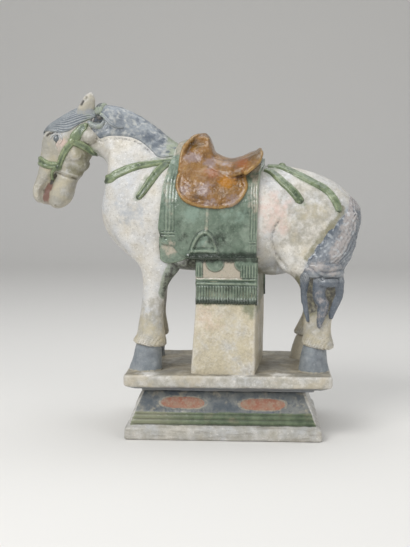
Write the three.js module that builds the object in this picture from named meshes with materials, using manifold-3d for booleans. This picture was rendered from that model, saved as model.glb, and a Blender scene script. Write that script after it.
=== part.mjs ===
// A glazed terracotta horse on a waisted stand.
// Millimetres, +Z up, the horse facing -X. The origin is the centre of the stand's underside.
import * as THREE from 'three';
import { LoftGeometry } from 'three/addons/geometries/LoftGeometry.js';
import { mergeVertices } from 'three/addons/utils/BufferGeometryUtils.js';
import Module from 'manifold-3d';

// Driving dimensions
const slabLength = 242;        // the slab that the horse stands on, nose to tail
const slabDepth = 167;
const slabTop = 77;
const slabUnderside = 63;
const seam = 54.5;             // where the horse's slab rests on the stand
const seamGap = 0.3;
const slabShift = 5.5;         // the horse's slab sits this far towards the tail on its stand
const slabOffset = 2.5;        // and the slab's middle lies this far behind the horse's own middle plane
const standLength = 230;
const standDepth = 160;
const waistInset = 20;         // how far the waist lies inside the slab's edge
const legSpread = 42;          // from the middle plane to each leg's axis
const farForeLead = -5;        // the far foreleg stands a little further forward
const farEarLead = -5;
const clothHalfWidth = 62.5;   // the saddle cloth's outer face, from the middle plane
const saddleLift = 3.5;        // the saddle flap over the saddle cloth
const strapLift = 2.6;         // straps over the skin
const maneLift = 2.2;
const columnTurn = THREE.MathUtils.degToRad(-5);
const through = 400;           // longer than anything that an outline cuts through
const sliver = 0.25;           // facets thinner than this are merged into their neighbours

const wasm = await Module();
wasm.setup();

// Solids and geometries

function toSolid(geometry) {
  const bare = geometry.index ? geometry.toNonIndexed() : geometry.clone();
  bare.deleteAttribute('normal');
  bare.deleteAttribute('uv');
  const merged = mergeVertices(bare, 1e-4);
  const corners = merged.index.array;
  const kept = [];
  for (let i = 0; i < corners.length; i += 3) {
    const [a, b, c] = corners.slice(i, i + 3);
    if (a !== b && b !== c && c !== a) kept.push(a, b, c);
  }
  const build = (triVerts) => new wasm.Manifold(new wasm.Mesh({
    numProp: 3,
    vertProperties: new Float32Array(merged.attributes.position.array),
    triVerts: new Uint32Array(triVerts),
  }));
  const made = build(kept);
  if (made.volume() > 0) return made;
  for (let i = 0; i < kept.length; i += 3) [kept[i + 1], kept[i + 2]] = [kept[i + 2], kept[i + 1]];
  return build(kept);
}

function toMesh(solid, name, material) {
  const { vertProperties, triVerts, numProp } = solid.getMesh();
  const geometry = new THREE.BufferGeometry();
  const places = new Float32Array((vertProperties.length / numProp) * 3);
  for (let i = 0; i < places.length / 3; i++) {
    places.set(vertProperties.subarray(i * numProp, i * numProp + 3), i * 3);
  }
  geometry.setAttribute('position', new THREE.BufferAttribute(places, 3));
  geometry.setIndex(new THREE.BufferAttribute(new Uint32Array(triVerts), 1));
  geometry.computeVertexNormals();
  const mesh = new THREE.Mesh(geometry, material);
  mesh.name = name;
  return mesh;
}

function joined(solids) {
  return solids.reduce((whole, next) => whole.add(next));
}

// Rings of points, one after another, skinned into a closed solid.
function loft(rings) {
  const [first, second] = rings;
  const count = first.length;
  const travel = second.reduce((sum, point, i) => sum.add(point).sub(first[i]), new THREE.Vector3());
  const facing = new THREE.Vector3();
  for (let i = 0; i < count; i++) {
    const spoke = first[i].clone().sub(first[0]);
    facing.add(spoke.cross(first[(i + 1) % count].clone().sub(first[0])));
  }
  const sections = facing.dot(travel) < 0 ? rings.map((ring) => [...ring].reverse()) : rings;
  return toSolid(new LoftGeometry(sections, { capStart: true, capEnd: true }));
}

// Forms built between two profile lines.
// A station is [upper x, upper z, lower x, lower z, half width, y of its middle, taper of its upper side].
function profileLoft(stations, { rows, sides, swell = 0, hem = 0 }) {
  const line = (pick) => new THREE.CatmullRomCurve3(stations.map((s) => new THREE.Vector3(...pick(s))));
  const uppers = line((s) => [s[0], 0, s[1]]);
  const lowers = line((s) => [s[2], 0, s[3]]);
  const widths = line((s) => [s[4], s[5] ?? 0, s[6] ?? 0]);
  const sections = [];
  for (let row = 0; row <= rows; row++) {
    const upper = uppers.getPoint(row / rows);
    const lower = lowers.getPoint(row / rows);
    const [halfWidth, middleY, taper] = widths.getPoint(row / rows).toArray();
    const middle = upper.clone().add(lower).multiplyScalar(0.5);
    const reach = upper.clone().sub(middle);
    reach.setLength(reach.length() + swell);
    const ring = [];
    for (let side = 0; side < sides; side++) {
      const angle = (side / sides) * Math.PI * 2;
      const across = Math.sin(angle) * (halfWidth + swell) * (1 - taper * Math.cos(angle));
      const point = middle.clone().addScaledVector(reach, Math.cos(angle));
      point.y += middleY + across;
      if (row === rows) point.z += hem * (side % 2 ? 1 : -1);
      ring.push(point);
    }
    sections.push(ring);
  }
  return loft(sections);
}

// The same stations on the far side, each moved along by its own lead.
function mirrored(stations, leads) {
  return stations.map(([ux, uz, lx, lz, halfWidth, y, taper], i) => [
    ux + leads[i], uz, lx + leads[i], lz, halfWidth, -y, taper,
  ]);
}

// Outlines in the side view, cut right through from side to side

function throughOutline(shape) {
  const geometry = new THREE.ExtrudeGeometry(shape, { depth: through, bevelEnabled: false, curveSegments: 6 });
  geometry.rotateX(Math.PI / 2);
  geometry.translate(0, through / 2, 0);
  return toSolid(geometry);
}

function splineOutline(points, divisions) {
  const corners = points.map(([x, z]) => new THREE.Vector3(x, z, 0));
  const curve = new THREE.CatmullRomCurve3(corners, true, 'catmullrom', 0.5);
  return new THREE.Shape(curve.getPoints(divisions).slice(0, -1).map((p) => new THREE.Vector2(p.x, p.y)));
}

function polygonOutline(points) {
  return new THREE.Shape(points.map(([x, z]) => new THREE.Vector2(x, z)));
}

function ribbonOutline(points, width, divisions = 5) {
  const curve = new THREE.SplineCurve(points.map(([x, z]) => new THREE.Vector2(x, z)));
  const left = [];
  const right = [];
  for (let i = 0; i <= divisions; i++) {
    const place = curve.getPoint(i / divisions);
    const along = curve.getTangent(i / divisions);
    const half = (Array.isArray(width) ? THREE.MathUtils.lerp(width[0], width[1], i / divisions) : width) / 2;
    const aside = new THREE.Vector2(-along.y, along.x).multiplyScalar(half);
    left.push(place.clone().add(aside));
    right.unshift(place.clone().sub(aside));
  }
  return new THREE.Shape([...left, ...right]);
}

function box(x0, x1, y0, y1, z0, z1) {
  const geometry = new THREE.BoxGeometry(x1 - x0, y1 - y0, z1 - z0);
  geometry.translate((x0 + x1) / 2, (y0 + y1) / 2, (z0 + z1) / 2);
  return toSolid(geometry);
}

function ball([x, y, z], [rx, ry, rz], segments = 9) {
  const geometry = new THREE.SphereGeometry(1, segments, Math.round(segments * 0.7));
  geometry.scale(rx, ry, rz);
  geometry.translate(x, y, z);
  return toSolid(geometry);
}

// The bare horse: trunk with neck, head, legs and hooves

const trunkStations = [
  [154, 262, 150, 236, 20],
  [151, 275, 146, 220, 37],
  [142.5, 288.5, 138, 203, 49],
  [127, 302.5, 124, 194, 57],
  [101, 313, 100, 190, 60],
  [70, 318.5, 72, 190, 60],
  [30, 320, 32, 190, 59],
  [-10, 324, -10, 190, 59],
  [-45, 336, -48, 192, 58, 0, 0.1],
  [-66, 346, -80, 196, 57, 0, 0.25],
  [-82, 358.5, -110, 202, 54, 0, 0.35],
  [-98, 371, -132, 218, 49, 0, 0.42],
  [-114, 380.5, -149, 238, 42, 0, 0.45],
  [-128, 386.5, -154.5, 262, 36, 0, 0.42],
  [-139, 389.5, -145.5, 288, 31, 0, 0.38],
  [-149, 391, -141.5, 309, 27, 0, 0.3],
  [-160, 389, -151, 330, 22, 0, 0.2],
  [-170, 381, -167, 350, 13],
];

const headStations = [
  [-172, 391, -154, 381, 9],
  [-188, 386, -155, 366, 15],
  [-206, 376.5, -160, 350, 19],
  [-221, 366, -165, 336, 21],
  [-228, 353, -172, 324, 20],
  [-230.5, 338, -176.5, 314, 17],
  [-232, 322, -183, 305.5, 15],
  [-236, 306, -189, 300, 14.5],
  [-240, 291, -191.5, 289, 15],
  [-239, 280, -195, 277, 13.5],
  [-232, 272, -205, 268.5, 9],
];

const forelegStations = [
  [-144, 262, -62, 262, 14, -32],
  [-136, 238, -57, 236, 17, -36],
  [-122, 216, -56, 212, 18, -38],
  [-109, 201, -61, 196, 17, -40],
  [-103, 188, -68.5, 185, 14.5, -41],
  [-101.5, 170, -75, 170, 13, -legSpread],
  [-103, 150, -76.5, 150, 13, -legSpread],
  [-105.5, 133, -75.5, 133, 14, -legSpread],
  [-109, 120, -75, 120, 16, -legSpread],
  [-112.5, 111, -74.5, 107, 18, -legSpread],
];

const hindLegStations = [
  [48, 262, 150, 262, 14, -40],
  [50, 236, 150, 238, 16.5, -41],
  [57, 214, 145, 214, 20, -legSpread],
  [66, 199, 139, 201, 20, -legSpread],
  [75, 189, 135, 190, 18, -legSpread],
  [83.5, 177, 134, 177, 16.5, -legSpread],
  [87.5, 160, 130, 160, 14, -legSpread],
  [88, 147, 125, 147, 13, -legSpread],
  [88.5, 133, 121, 133, 13, -legSpread],
  [88.5, 120, 120.5, 120, 15, -legSpread],
  [86.5, 109, 122.5, 106, 17.5, -legSpread],
];

// The far hind leg stands out behind the near one at the hock and ahead of it at the hoof.
const farHindLeads = [0, 0, 0, 0, 0, 1, 4, 5, 3, -3, -5];
const farHindHoofLeads = [-2, -6, -8];

const foreHoofStations = [
  [-109, 113, -80, 110, 14, -legSpread],
  [-113, 96, -79, 95, 15, -legSpread],
  [-119, 76, -79, 76, 17.5, -legSpread],
];

const hindHoofStations = [
  [88, 110, 117, 108, 14, -legSpread],
  [85.5, 94, 116.5, 94, 15, -legSpread],
  [83.5, 76, 119, 76, 17.5, -legSpread],
];

const trunk = (swell = 0) => profileLoft(trunkStations, { rows: 22, sides: 18, swell });
const head = (swell = 0) => profileLoft(headStations, { rows: 13, sides: 14, swell });

function legs() {
  const foreLeads = forelegStations.map(() => farForeLead);
  const pairs = [
    [forelegStations, foreHoofStations],
    [mirrored(forelegStations, foreLeads), mirrored(foreHoofStations, foreLeads)],
    [hindLegStations, hindHoofStations],
    [mirrored(hindLegStations, farHindLeads), mirrored(hindHoofStations, farHindHoofLeads)],
  ];
  const solids = [];
  for (const [leg, hoof] of pairs) {
    solids.push(profileLoft(leg, { rows: 8, sides: 10, hem: 1.4 }));
    solids.push(profileLoft(hoof, { rows: 2, sides: 10 }));
  }
  return joined(solids);
}

// The face: ears, cheeks, eyes and the open mouth

// The open mouth: a wedge cut in from both sides, with the gums left standing between the lips.
function mouthCleft() {
  const wedge = throughOutline(polygonOutline([
    [-225.5, 262], [-218, 262], [-218.5, 284], [-214, 299], [-213, 304], [-220, 296], [-225.5, 287],
  ]));
  return wedge.subtract(box(-230, -210, -7, 7, 277, 310));
}

const earStations = [
  [-186, 384, -162.5, 384, 5, -10, 0],
  [-182, 391, -162, 392, 6, -11, 0],
  [-176, 399, -161.6, 399.5, 4.5, -12, 0],
  [-169.5, 405.5, -164.5, 405, 1.5, -12.5, 0],
];

function ears() {
  const farStations = mirrored(earStations, earStations.map(() => farEarLead));
  return joined([earStations, farStations].map((stations) => profileLoft(stations, { rows: 4, sides: 7 })));
}

function cheekAndEye(side) {
  return joined([
    ball([-168, side * 17, 354.5], [9.5, 8, 9.5], 8),
    ball([-186, side * 13, 334], [11, 7.5, 9], 6),
    ball([-207.5, side * 17, 351], [6, 5, 6], 7),
  ]);
}

function crestCurl(side) {
  const hollow = ball([-155, side * 24, 374], [5.5, 5, 4], 6);
  return ball([-155, side * 15, 370.5], [10.5, 8, 9.5]).subtract(hollow);
}

// The flesh and the throat latch that close the angle between the cheek and the neck.
function throat() {
  return ball([-160, 0, 335.5], [11, 19, 8.5], 7);
}

function forelock(outer) {
  const lock = splineOutline([
    [-232, 360], [-227, 371], [-206, 382], [-178, 394], [-164, 390], [-163, 377], [-176, 369], [-189, 360.5],
    [-203, 357.5], [-214, 359],
  ], 11);
  return outer.intersect(throughOutline(lock));
}

// The harness, cut from a slightly swollen copy of the skin

const maneOutline = [
  [-154, 350], [-140, 352.5], [-122, 351.5], [-108, 347], [-96, 339], [-84, 327.5], [-73, 333], [-58, 342],
  [-70, 362], [-95, 385], [-130, 402], [-158, 404], [-168, 388], [-163, 368],
];

function harnessOnTrunk() {
  const straps = [
    ribbonOutline([[-60, 327.5], [-86, 323.5], [-110, 317.5], [-130, 310], [-145, 302], [-164, 294]], [6, 8], 4),
    ribbonOutline([[-75, 321], [-90, 308], [-99, 295], [-107.5, 280]], [6.5, 8], 3),
    ribbonOutline([[42, 312.5], [52, 309], [64, 298], [74, 288], [85, 276]], [6, 7.5], 3),
    ribbonOutline([[42, 319], [66, 315.5], [84, 307], [101, 298], [115, 288], [125, 273], [130, 250]], [8, 6]),
    polygonOutline([[-160, 377], [-147.5, 374], [-146, 400], [-159, 402]]),
  ];
  const outer = trunk(strapLift);
  return joined([outer.intersect(joined(straps.map(throughOutline))), ball([59.5, 0, 318], [8, 9, 6], 7)]);
}

function bridle() {
  const straps = [
    ribbonOutline([[-171, 368], [-180, 359], [-188.5, 348]], 8.5, 2),
    ribbonOutline([[-188.5, 348], [-195, 339.5], [-200.5, 331], [-207, 316]], 6, 3),
    ribbonOutline([[-188.5, 348], [-177, 342.5], [-168, 337.5], [-158, 329]], 7, 3),
    ribbonOutline([[-240, 327], [-228, 323.5], [-217, 319], [-206, 317.5]], 8, 3),
    ribbonOutline([[-211, 311], [-200.5, 307], [-191, 304], [-178, 302]], 4, 2),
    ribbonOutline([[-209, 316], [-214, 302]], 4, 1),
  ];
  const outer = head(strapLift);
  const bosses = [-1, 1].map((side) => ball([-188.5, side * 20, 347.5], [4.5, 4, 4.5], 6)
    .add(ball([-208, side * 16, 317], [4.5, 3.5, 4.5], 6)));
  return joined([outer.intersect(joined(straps.map(throughOutline))), ...bosses]);
}

function mane() {
  return trunk(maneLift).intersect(throughOutline(splineOutline(maneOutline, 18)));
}

// The saddle cloth hangs plumb from the barrel, like an arch drawn along the back

function drape(halfWidth, top, x0, x1, footIn = 0) {
  const shape = new THREE.Shape();
  const shoulder = 262;
  shape.moveTo(-(halfWidth - footIn), 180);
  shape.lineTo(halfWidth - footIn, 180);
  shape.lineTo(halfWidth, shoulder);
  shape.absellipse(0, shoulder, halfWidth, top - shoulder, 0, Math.PI, false);
  shape.lineTo(-(halfWidth - footIn), 180);
  const geometry = new THREE.ExtrudeGeometry(shape, { depth: x1 - x0, bevelEnabled: false, curveSegments: 9 });
  geometry.rotateX(Math.PI / 2);
  geometry.rotateZ(Math.PI / 2);
  geometry.translate(x0, 0, 0);
  return toSolid(geometry);
}

const clothOutline = [
  [-62, 346], [-71, 322], [-76.5, 296], [-79.5, 267], [-81, 246], [-77.5, 230], [-67, 227], [-57, 217],
  [-46, 212], [-20, 209.5], [12, 210], [34, 212.5], [35, 252], [36, 288], [43, 296], [47, 318],
  [20, 340], [-30, 348],
];

function saddleCloth() {
  const cloth = drape(clothHalfWidth, 328, -90, 50, 2).intersect(throughOutline(polygonOutline(clothOutline)));
  const band = splineOutline([[-80, 207], [-66, 204.5], [-50, 209], [-46, 225], [-60, 240], [-79, 240]], 16);
  const girth = drape(clothHalfWidth - 5, 300, -84, -44, 4).intersect(throughOutline(band));
  const withers = polygonOutline([[-64, 330], [-63, 345], [-57, 351], [-44, 352], [-44, 320]]);
  const withersPad = drape(46, 350, -66, -44).intersect(throughOutline(withers));
  return joined([cloth, girth, withersPad]);
}

function clothRelief() {
  const bands = [];
  for (const x of [-71.5, -66.5]) bands.push(ribbonOutline([[x, 243], [x + 1.5, 300]], 3.2, 1));
  for (const x of [25.3, 30.4]) bands.push(ribbonOutline([[x, 231], [x + 0.5, 286]], 3.4, 1));
  for (const z of [226.5, 230.5]) bands.push(ribbonOutline([[22, z], [34.5, z]], 2.4, 1));
  bands.push(ribbonOutline([[-26.5, 240], [-24.5, 272]], 5, 1));
  const raised = drape(clothHalfWidth + 1.3, 330, -90, 50, 2);
  return joined(bands.map((shape) => raised.intersect(throughOutline(shape))));
}

function stirrup() {
  const arch = ribbonOutline([[-45, 219], [-40, 233], [-28, 242], [-17, 233], [-13, 219]], 4, 7);
  const tread = ribbonOutline([[-47, 219.5], [-29, 220], [-12, 218.5]], 4.5, 1);
  const pad = splineOutline([[-48, 214.5], [-30, 210.5], [-11, 213.5], [-12, 217], [-30, 218], [-46, 218]], 10);
  const raised = drape(clothHalfWidth + 2.6, 330, -60, 0, 2);
  return joined([arch, tread, pad].map((shape) => raised.intersect(throughOutline(shape))));
}

// The saddle: two hanging flaps, and a seat between a tall pommel and a flared cantle

const flapOutline = [
  [-55, 330], [-55.5, 318], [-60.5, 305], [-60.5, 291], [-52.5, 278.5], [-38, 271.5], [-22, 268.8],
  [-6, 268.8], [8, 273], [18, 282.5], [22.5, 294], [20, 307], [26, 316], [10, 330], [-30, 335],
];

// Along the saddle: [x, top z, half width, z where it meets the flap].
const seatStations = [
  [-57, 331, 34, 318],
  [-51, 343, 38, 312],
  [-43, 353, 40, 308],
  [-34, 356.5, 41, 306],
  [-26, 354.5, 41, 305],
  [-21, 345, 42, 304],
  [-15, 334, 46, 303],
  [0, 328.5, 52, 303],
  [14, 330.5, 55, 306],
  [26, 335.5, 57, 311],
  [35, 338, 57, 318],
  [41, 333, 52, 322],
];

function seat() {
  const line = new THREE.CatmullRomCurve3(seatStations.map(([x, top]) => new THREE.Vector3(x, 0, top)));
  const sides = seatStations.map(([x, , half, foot]) => new THREE.Vector3(x, half, foot));
  const spread = new THREE.CatmullRomCurve3(sides);
  const rows = 12;
  const columns = 9;
  const sections = [];
  for (let row = 0; row <= rows; row++) {
    const top = line.getPoint(row / rows);
    const { y: half, z: foot } = spread.getPoint(row / rows);
    const ring = [];
    for (let column = 0; column <= columns; column++) {
      const angle = (column / columns) * Math.PI;
      ring.push(new THREE.Vector3(top.x, Math.cos(angle) * half, foot + Math.sin(angle) ** 0.9 * (top.z - foot)));
    }
    ring.push(new THREE.Vector3(top.x, -half * 0.8, foot - 20), new THREE.Vector3(top.x, half * 0.8, foot - 20));
    sections.push(ring);
  }
  return loft(sections);
}

function cantleWings() {
  const outline = splineOutline([[14, 309], [24, 311], [33, 318], [40, 327], [37, 333], [26, 333], [12, 326]], 20);
  return drape(clothHalfWidth + saddleLift + 2, 332, 8, 44).intersect(throughOutline(outline));
}

function saddle() {
  const flap = drape(clothHalfWidth + saddleLift, 331, -66, 30, 1)
    .intersect(throughOutline(splineOutline(flapOutline, 28)));
  const rim = ribbonOutline([[-54, 320], [-53, 333], [-46, 344.5], [-36, 349.5], [-25, 349]], 3.5, 5);
  const pommelRim = drape(48, 356, -60, -20).intersect(throughOutline(rim));
  return joined([flap, seat(), cantleWings(), pommelRim]);
}

// The tail, looped into a knot over the near hock and hanging in three locks

function tailLock(points, thick) {
  const stations = points.map(([x, z, half, y]) => [x - half, z, x + half, z, thick, y, 0]);
  return profileLoft(stations, { rows: 5, sides: 6 });
}

function tailWrap(z, high, reach, x) {
  const levels = [[high, 2.4], [high * 0.45, 0], [-high * 0.45, 0], [-high, 2.4]];
  const stations = levels.map(([rise, inset]) => [
    x - reach + inset, z + rise, x + reach - inset, z + rise, 14.5 - inset, -52, 0,
  ]);
  return profileLoft(stations, { rows: 3, sides: 10 });
}

function tail() {
  const strands = [
    [9, [131, 268, 5, -44], [130, 252, 7, -50], [126, 236, 9, -54], [119, 220, 13, -56], [115, 206, 18, -56],
      [114, 196, 19, -54]],
    [6, [97, 196, 9, -54], [95, 182, 7, -55], [94, 166, 6, -54], [94, 152, 2.5, -52]],
    [6.5, [109, 196, 8, -56], [110, 178, 7, -59], [112, 158, 6, -58], [111, 142, 4.5, -57], [108, 127, 1.5, -54]],
    [7, [126, 196, 8, -50], [128, 178, 7, -53], [125, 160, 6, -53], [119, 144, 4.5, -53], [116, 130, 2, -52]],
  ];
  const wraps = [[200.5, 5, 24, 112], [190.5, 4, 23, 113], [183.5, 3.2, 17, 117]];
  return joined([
    ...strands.map(([thick, ...points]) => tailLock(points, thick)),
    ...wraps.map((wrap) => tailWrap(...wrap)),
  ]);
}

// The column under the belly, with its hanging apron and fringe on both faces

function column() {
  const block = (x, y, z, halfX, halfY) => [[-1, -1], [1, -1], [1, 1], [-1, 1]]
    .map(([sx, sy]) => new THREE.Vector3(x + sx * halfX, y + sy * halfY, z));
  const shaft = loft([
    block(0.8, -8, slabTop - 4, 37.8, 63),
    block(2, -6, 112, 37, 61.5),
    block(3.3, -2, 160, 36, 59.5),
    block(3.3, 0, 214, 36, 57.5),
  ]);
  const parts = [shaft];
  for (const side of [-1, 1]) parts.push(apron(side));
  parts.push(ball([40, 0, 193], [13, 46, 8], 7));
  const turn = [0, 0, THREE.MathUtils.radToDeg(columnTurn)];
  return joined(parts).translate([2, 0, 0]).rotate(turn).translate([-2, 0, 0]);
}

function apron(side) {
  const y = (depth) => (side < 0 ? [-depth, -40] : [40, depth]);
  const left = -33.2;
  const right = 39.6;
  const slabs = [
    box(left, right, ...y(60.5), 157, 212),
    box(left, left + 7.5, ...y(62), 186, 212),
    box(right - 19, right, ...y(62), 186, 212),
    box(left + 4, right - 2, ...y(62.8), 182.6, 185),
    box(left + 4, right - 1, ...y(62.8), 177.6, 180.2),
  ];
  for (const [x, half] of [[-9.9, 10], [18, 9]]) {
    slabs.push(ball([x, side * 58, 206], [half, 4, 9], 12));
  }
  const strands = 10;
  const pitch = (right - left) / strands;
  for (let strand = 0; strand < strands; strand++) {
    const x = left + (strand + 0.5) * pitch;
    slabs.push(box(x - pitch * 0.32, x + pitch * 0.32, ...y(62.3), 157.6, 178));
  }
  return joined(slabs);
}

// Mouldings: a profile of [inset, z] carried round a rectangle with rounded corners

function moulding(length, depth, profile, cornerRadius) {
  const arcSteps = 2;
  const sections = profile.map(([inset, z]) => {
    const ring = [];
    const radius = Math.max(cornerRadius - inset * 0.1, 1);
    for (const [sx, sy, start] of [[1, 1, 0], [-1, 1, 1], [-1, -1, 2], [1, -1, 3]]) {
      for (let step = 0; step <= arcSteps; step++) {
        const angle = (start + step / arcSteps) * (Math.PI / 2);
        ring.push(new THREE.Vector3(
          sx * (length / 2 - inset - radius) + Math.cos(angle) * radius,
          sy * (depth / 2 - inset - radius) + Math.sin(angle) * radius,
          z,
        ));
      }
    }
    return ring;
  });
  return loft(sections);
}

function slab() {
  const profile = [
    [waistInset, seam + seamGap], [waistInset - 1, 57.5], [waistInset - 10, 59.5], [2.5, slabUnderside],
    [0, slabUnderside + 2.5], [0, slabTop - 3], [0.9, slabTop - 1], [3, slabTop],
  ];
  return moulding(slabLength, slabDepth, profile, 5).translate([0, slabOffset, 0]);
}

function stand() {
  const profile = [
    [0, 0], [0.3, 11.5], [1.5, 14], [5, 17.5], [5.6, 21.5], [7.2, 22.8], [7.6, 27.5], [9, 29], [9.6, 31.5],
    [13.5, 42], [17, 50], [18.5, 53.5], [20, seam],
  ];
  return moulding(standLength, standDepth, profile, 4);
}

// Assembly

const slipMaterial = new THREE.MeshStandardMaterial({ color: 0xcfc8b8, roughness: 0.55, metalness: 0 });
const standMaterial = new THREE.MeshStandardMaterial({ color: 0xb4b3a6, roughness: 0.5, metalness: 0 });

function horseSolid() {
  const headParts = [head(), cheekAndEye(-1), cheekAndEye(1), ears(), forelock(head(1.8)), bridle()];
  const headSkin = joined(headParts).subtract(mouthCleft());
  return joined([
    trunk(), throat(), headSkin, crestCurl(-1), crestCurl(1), mane(), harnessOnTrunk(), legs(), tail(),
    saddleCloth(), clothRelief(), stirrup(), saddle(), column(), slab(),
  ]);
}

const figure = new THREE.Group();
const horse = toMesh(horseSolid().simplify(sliver), 'horse', slipMaterial);
horse.position.x = slabShift;
figure.add(horse, toMesh(stand(), 'stand', standMaterial));

export default figure;
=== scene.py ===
import math
import bpy
import bmesh
import numpy as np
from mathutils import Matrix, Vector, noise
from mathutils.bvhtree import BVHTree


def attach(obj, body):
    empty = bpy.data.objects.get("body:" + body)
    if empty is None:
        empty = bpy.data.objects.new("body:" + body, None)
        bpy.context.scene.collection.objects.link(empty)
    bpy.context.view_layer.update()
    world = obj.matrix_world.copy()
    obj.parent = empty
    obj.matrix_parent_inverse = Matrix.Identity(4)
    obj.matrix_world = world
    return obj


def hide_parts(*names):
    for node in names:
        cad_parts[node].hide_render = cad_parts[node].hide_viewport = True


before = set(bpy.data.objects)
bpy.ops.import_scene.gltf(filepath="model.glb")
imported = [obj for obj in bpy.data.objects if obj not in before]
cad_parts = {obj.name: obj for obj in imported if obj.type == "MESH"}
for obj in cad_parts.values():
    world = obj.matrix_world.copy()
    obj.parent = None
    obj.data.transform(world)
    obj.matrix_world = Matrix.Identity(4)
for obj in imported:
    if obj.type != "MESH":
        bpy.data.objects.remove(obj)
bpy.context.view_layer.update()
print("frame loaded")

# Shapes are worked out in millimetres, with x measured from the middle of the horse's slab,
# and set into the frame when a piece is finished. The cloth hangs below the shoulder's height; outside is a distance
# beyond every side, from where rays look in.
figure = {"slabShift": 5.5, "unit": 0.001, "shoulder": 262, "outside": 150}


# Lines

def curvePoints(a, b, c, d, f):
    return 0.5 * (2 * b + (c - a) * f + (2 * a - 5 * b + 4 * c - d) * f ** 2 + (3 * b - a - 3 * c + d) * f ** 3)


def smoothLine(points, count):
    p = np.array(points, float)
    ends = np.vstack([2 * p[0] - p[1], p, 2 * p[-1] - p[-2]])
    t = np.linspace(0, len(p) - 1, count)
    i = np.minimum(t.astype(int), len(p) - 2)
    return curvePoints(ends[i], ends[i + 1], ends[i + 2], ends[i + 3], (t - i)[:, None])


def closedLine(points, count):
    p = np.array(points, float)
    t = np.arange(count) / count * len(p)
    i = t.astype(int)
    a, b, c, d = (p[(i + k) % len(p)] for k in (-1, 0, 1, 2))
    return curvePoints(a, b, c, d, (t - i)[:, None])


def evenLine(points, step):
    dense = smoothLine(points, 30 * len(points))
    run = np.concatenate([[0], np.cumsum(np.linalg.norm(np.diff(dense, axis=0), axis=1))])
    stops = np.linspace(0, run[-1], max(int(run[-1] / step), 4) + 1)
    return np.stack([np.interp(stops, run, dense[:, k]) for k in range(dense.shape[1])], axis=1)


# How far points lie from a line, and how far along it the nearest place is (0 to 1).
def lineDistance(points, line):
    best = np.full(len(points), 1e9)
    along = np.zeros(len(points))
    for k in range(len(line) - 1):
        start, run = line[k], line[k + 1] - line[k]
        t = np.clip((points - start) @ run / max(run @ run, 1e-9), 0, 1)
        gap = np.linalg.norm(points - start - t[:, None] * run, axis=1)
        nearer = gap < best
        best[nearer] = gap[nearer]
        along[nearer] = (k + t[nearer]) / (len(line) - 1)
    return best, along


# How far points lie from a path drawn in the side view.
def pathGap(spots, path, count=14):
    return lineDistance(spots[:, [0, 2]], smoothLine(path, count))[0]


def hill(distance, width):
    return np.exp(-(distance / width) ** 2)


def ramp(value, low, high):
    t = np.clip((value - low) / (high - low), 0, 1)
    return t * t * (3 - 2 * t)


def strongest(*amounts):
    return np.maximum.reduce(amounts)


# A soft round mark in the side view.
def mark(x, z, midX, midZ, radius, strength=1, stretch=1):
    return strength * hill(np.hypot((x - midX) / stretch, z - midZ), radius)


def marks(x, z, *rows):
    return strongest(*(mark(x, z, *row) for row in rows))


def insideOutline(points, outline):
    inside = np.zeros(len(points), bool)
    for (x0, z0), (x1, z1) in zip(outline, np.roll(outline, -1, axis=0)):
        crosses = (z0 > points[:, 1]) != (z1 > points[:, 1])
        inside ^= crosses & (points[:, 0] < x0 + (points[:, 1] - z0) * (x1 - x0) / (z1 - z0 + 1e-12))
    return inside


# Meshes

def gridForm(bm, rows, columns, place):
    verts = bmesh.ops.create_grid(bm, x_segments=rows, y_segments=columns, size=1)["verts"]
    spots = np.array([v.co[:2] for v in verts]) / 2 + 0.5
    for vert, spot in zip(verts, place(spots[:, 0], spots[:, 1])):
        vert.co = spot
    return verts


# The same grid on the near side and, mirrored, on the far side.
def mirroredGrid(bm, rows, columns, place):
    gridForm(bm, rows, columns, place)
    bmesh.ops.scale(bm, vec=(1, -1, 1), verts=gridForm(bm, rows, columns, place))


# Joins a tube's seam, closes its ends and turns its faces outward.
def closeTubes(bm):
    bmesh.ops.remove_doubles(bm, verts=bm.verts, dist=0.0005)
    bmesh.ops.holes_fill(bm, edges=[e for e in bm.edges if e.is_boundary], sides=0)
    bmesh.ops.recalc_face_normals(bm, faces=bm.faces)


# A station is upper x, upper z, lower x, lower z, half width, y of the middle, taper of the upper side.
def loft(bm, stations, rows, sides, side=1):
    line = smoothLine([list(s) + [0] * (7 - len(s)) for s in stations], rows + 1)

    def place(u, v):
        upX, upZ, lowX, lowZ, half, midY, taper = line[np.round(u * rows).astype(int)].T
        turn = v * 2 * math.pi
        reach = np.cos(turn)
        x = (upX + lowX) / 2 + (upX - lowX) / 2 * reach
        z = (upZ + lowZ) / 2 + (upZ - lowZ) / 2 * reach
        return np.stack([x, side * (midY + np.sin(turn) * half * (1 - taper * reach)), z], axis=1)

    gridForm(bm, rows, sides, place)
    closeTubes(bm)


# The far side's stations, each moved along by its own lead.
def led(stations, leads):
    return [(upX + lead, upZ, lowX + lead, lowZ, *rest)
            for (upX, upZ, lowX, lowZ, *rest), lead in zip(stations, leads)]


def ball(bm, spot, radii, fine=3):
    turn = Matrix.Translation(spot) @ Matrix.Diagonal((*radii, 1))
    bmesh.ops.create_icosphere(bm, subdivisions=fine, radius=1, matrix=turn)


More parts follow.
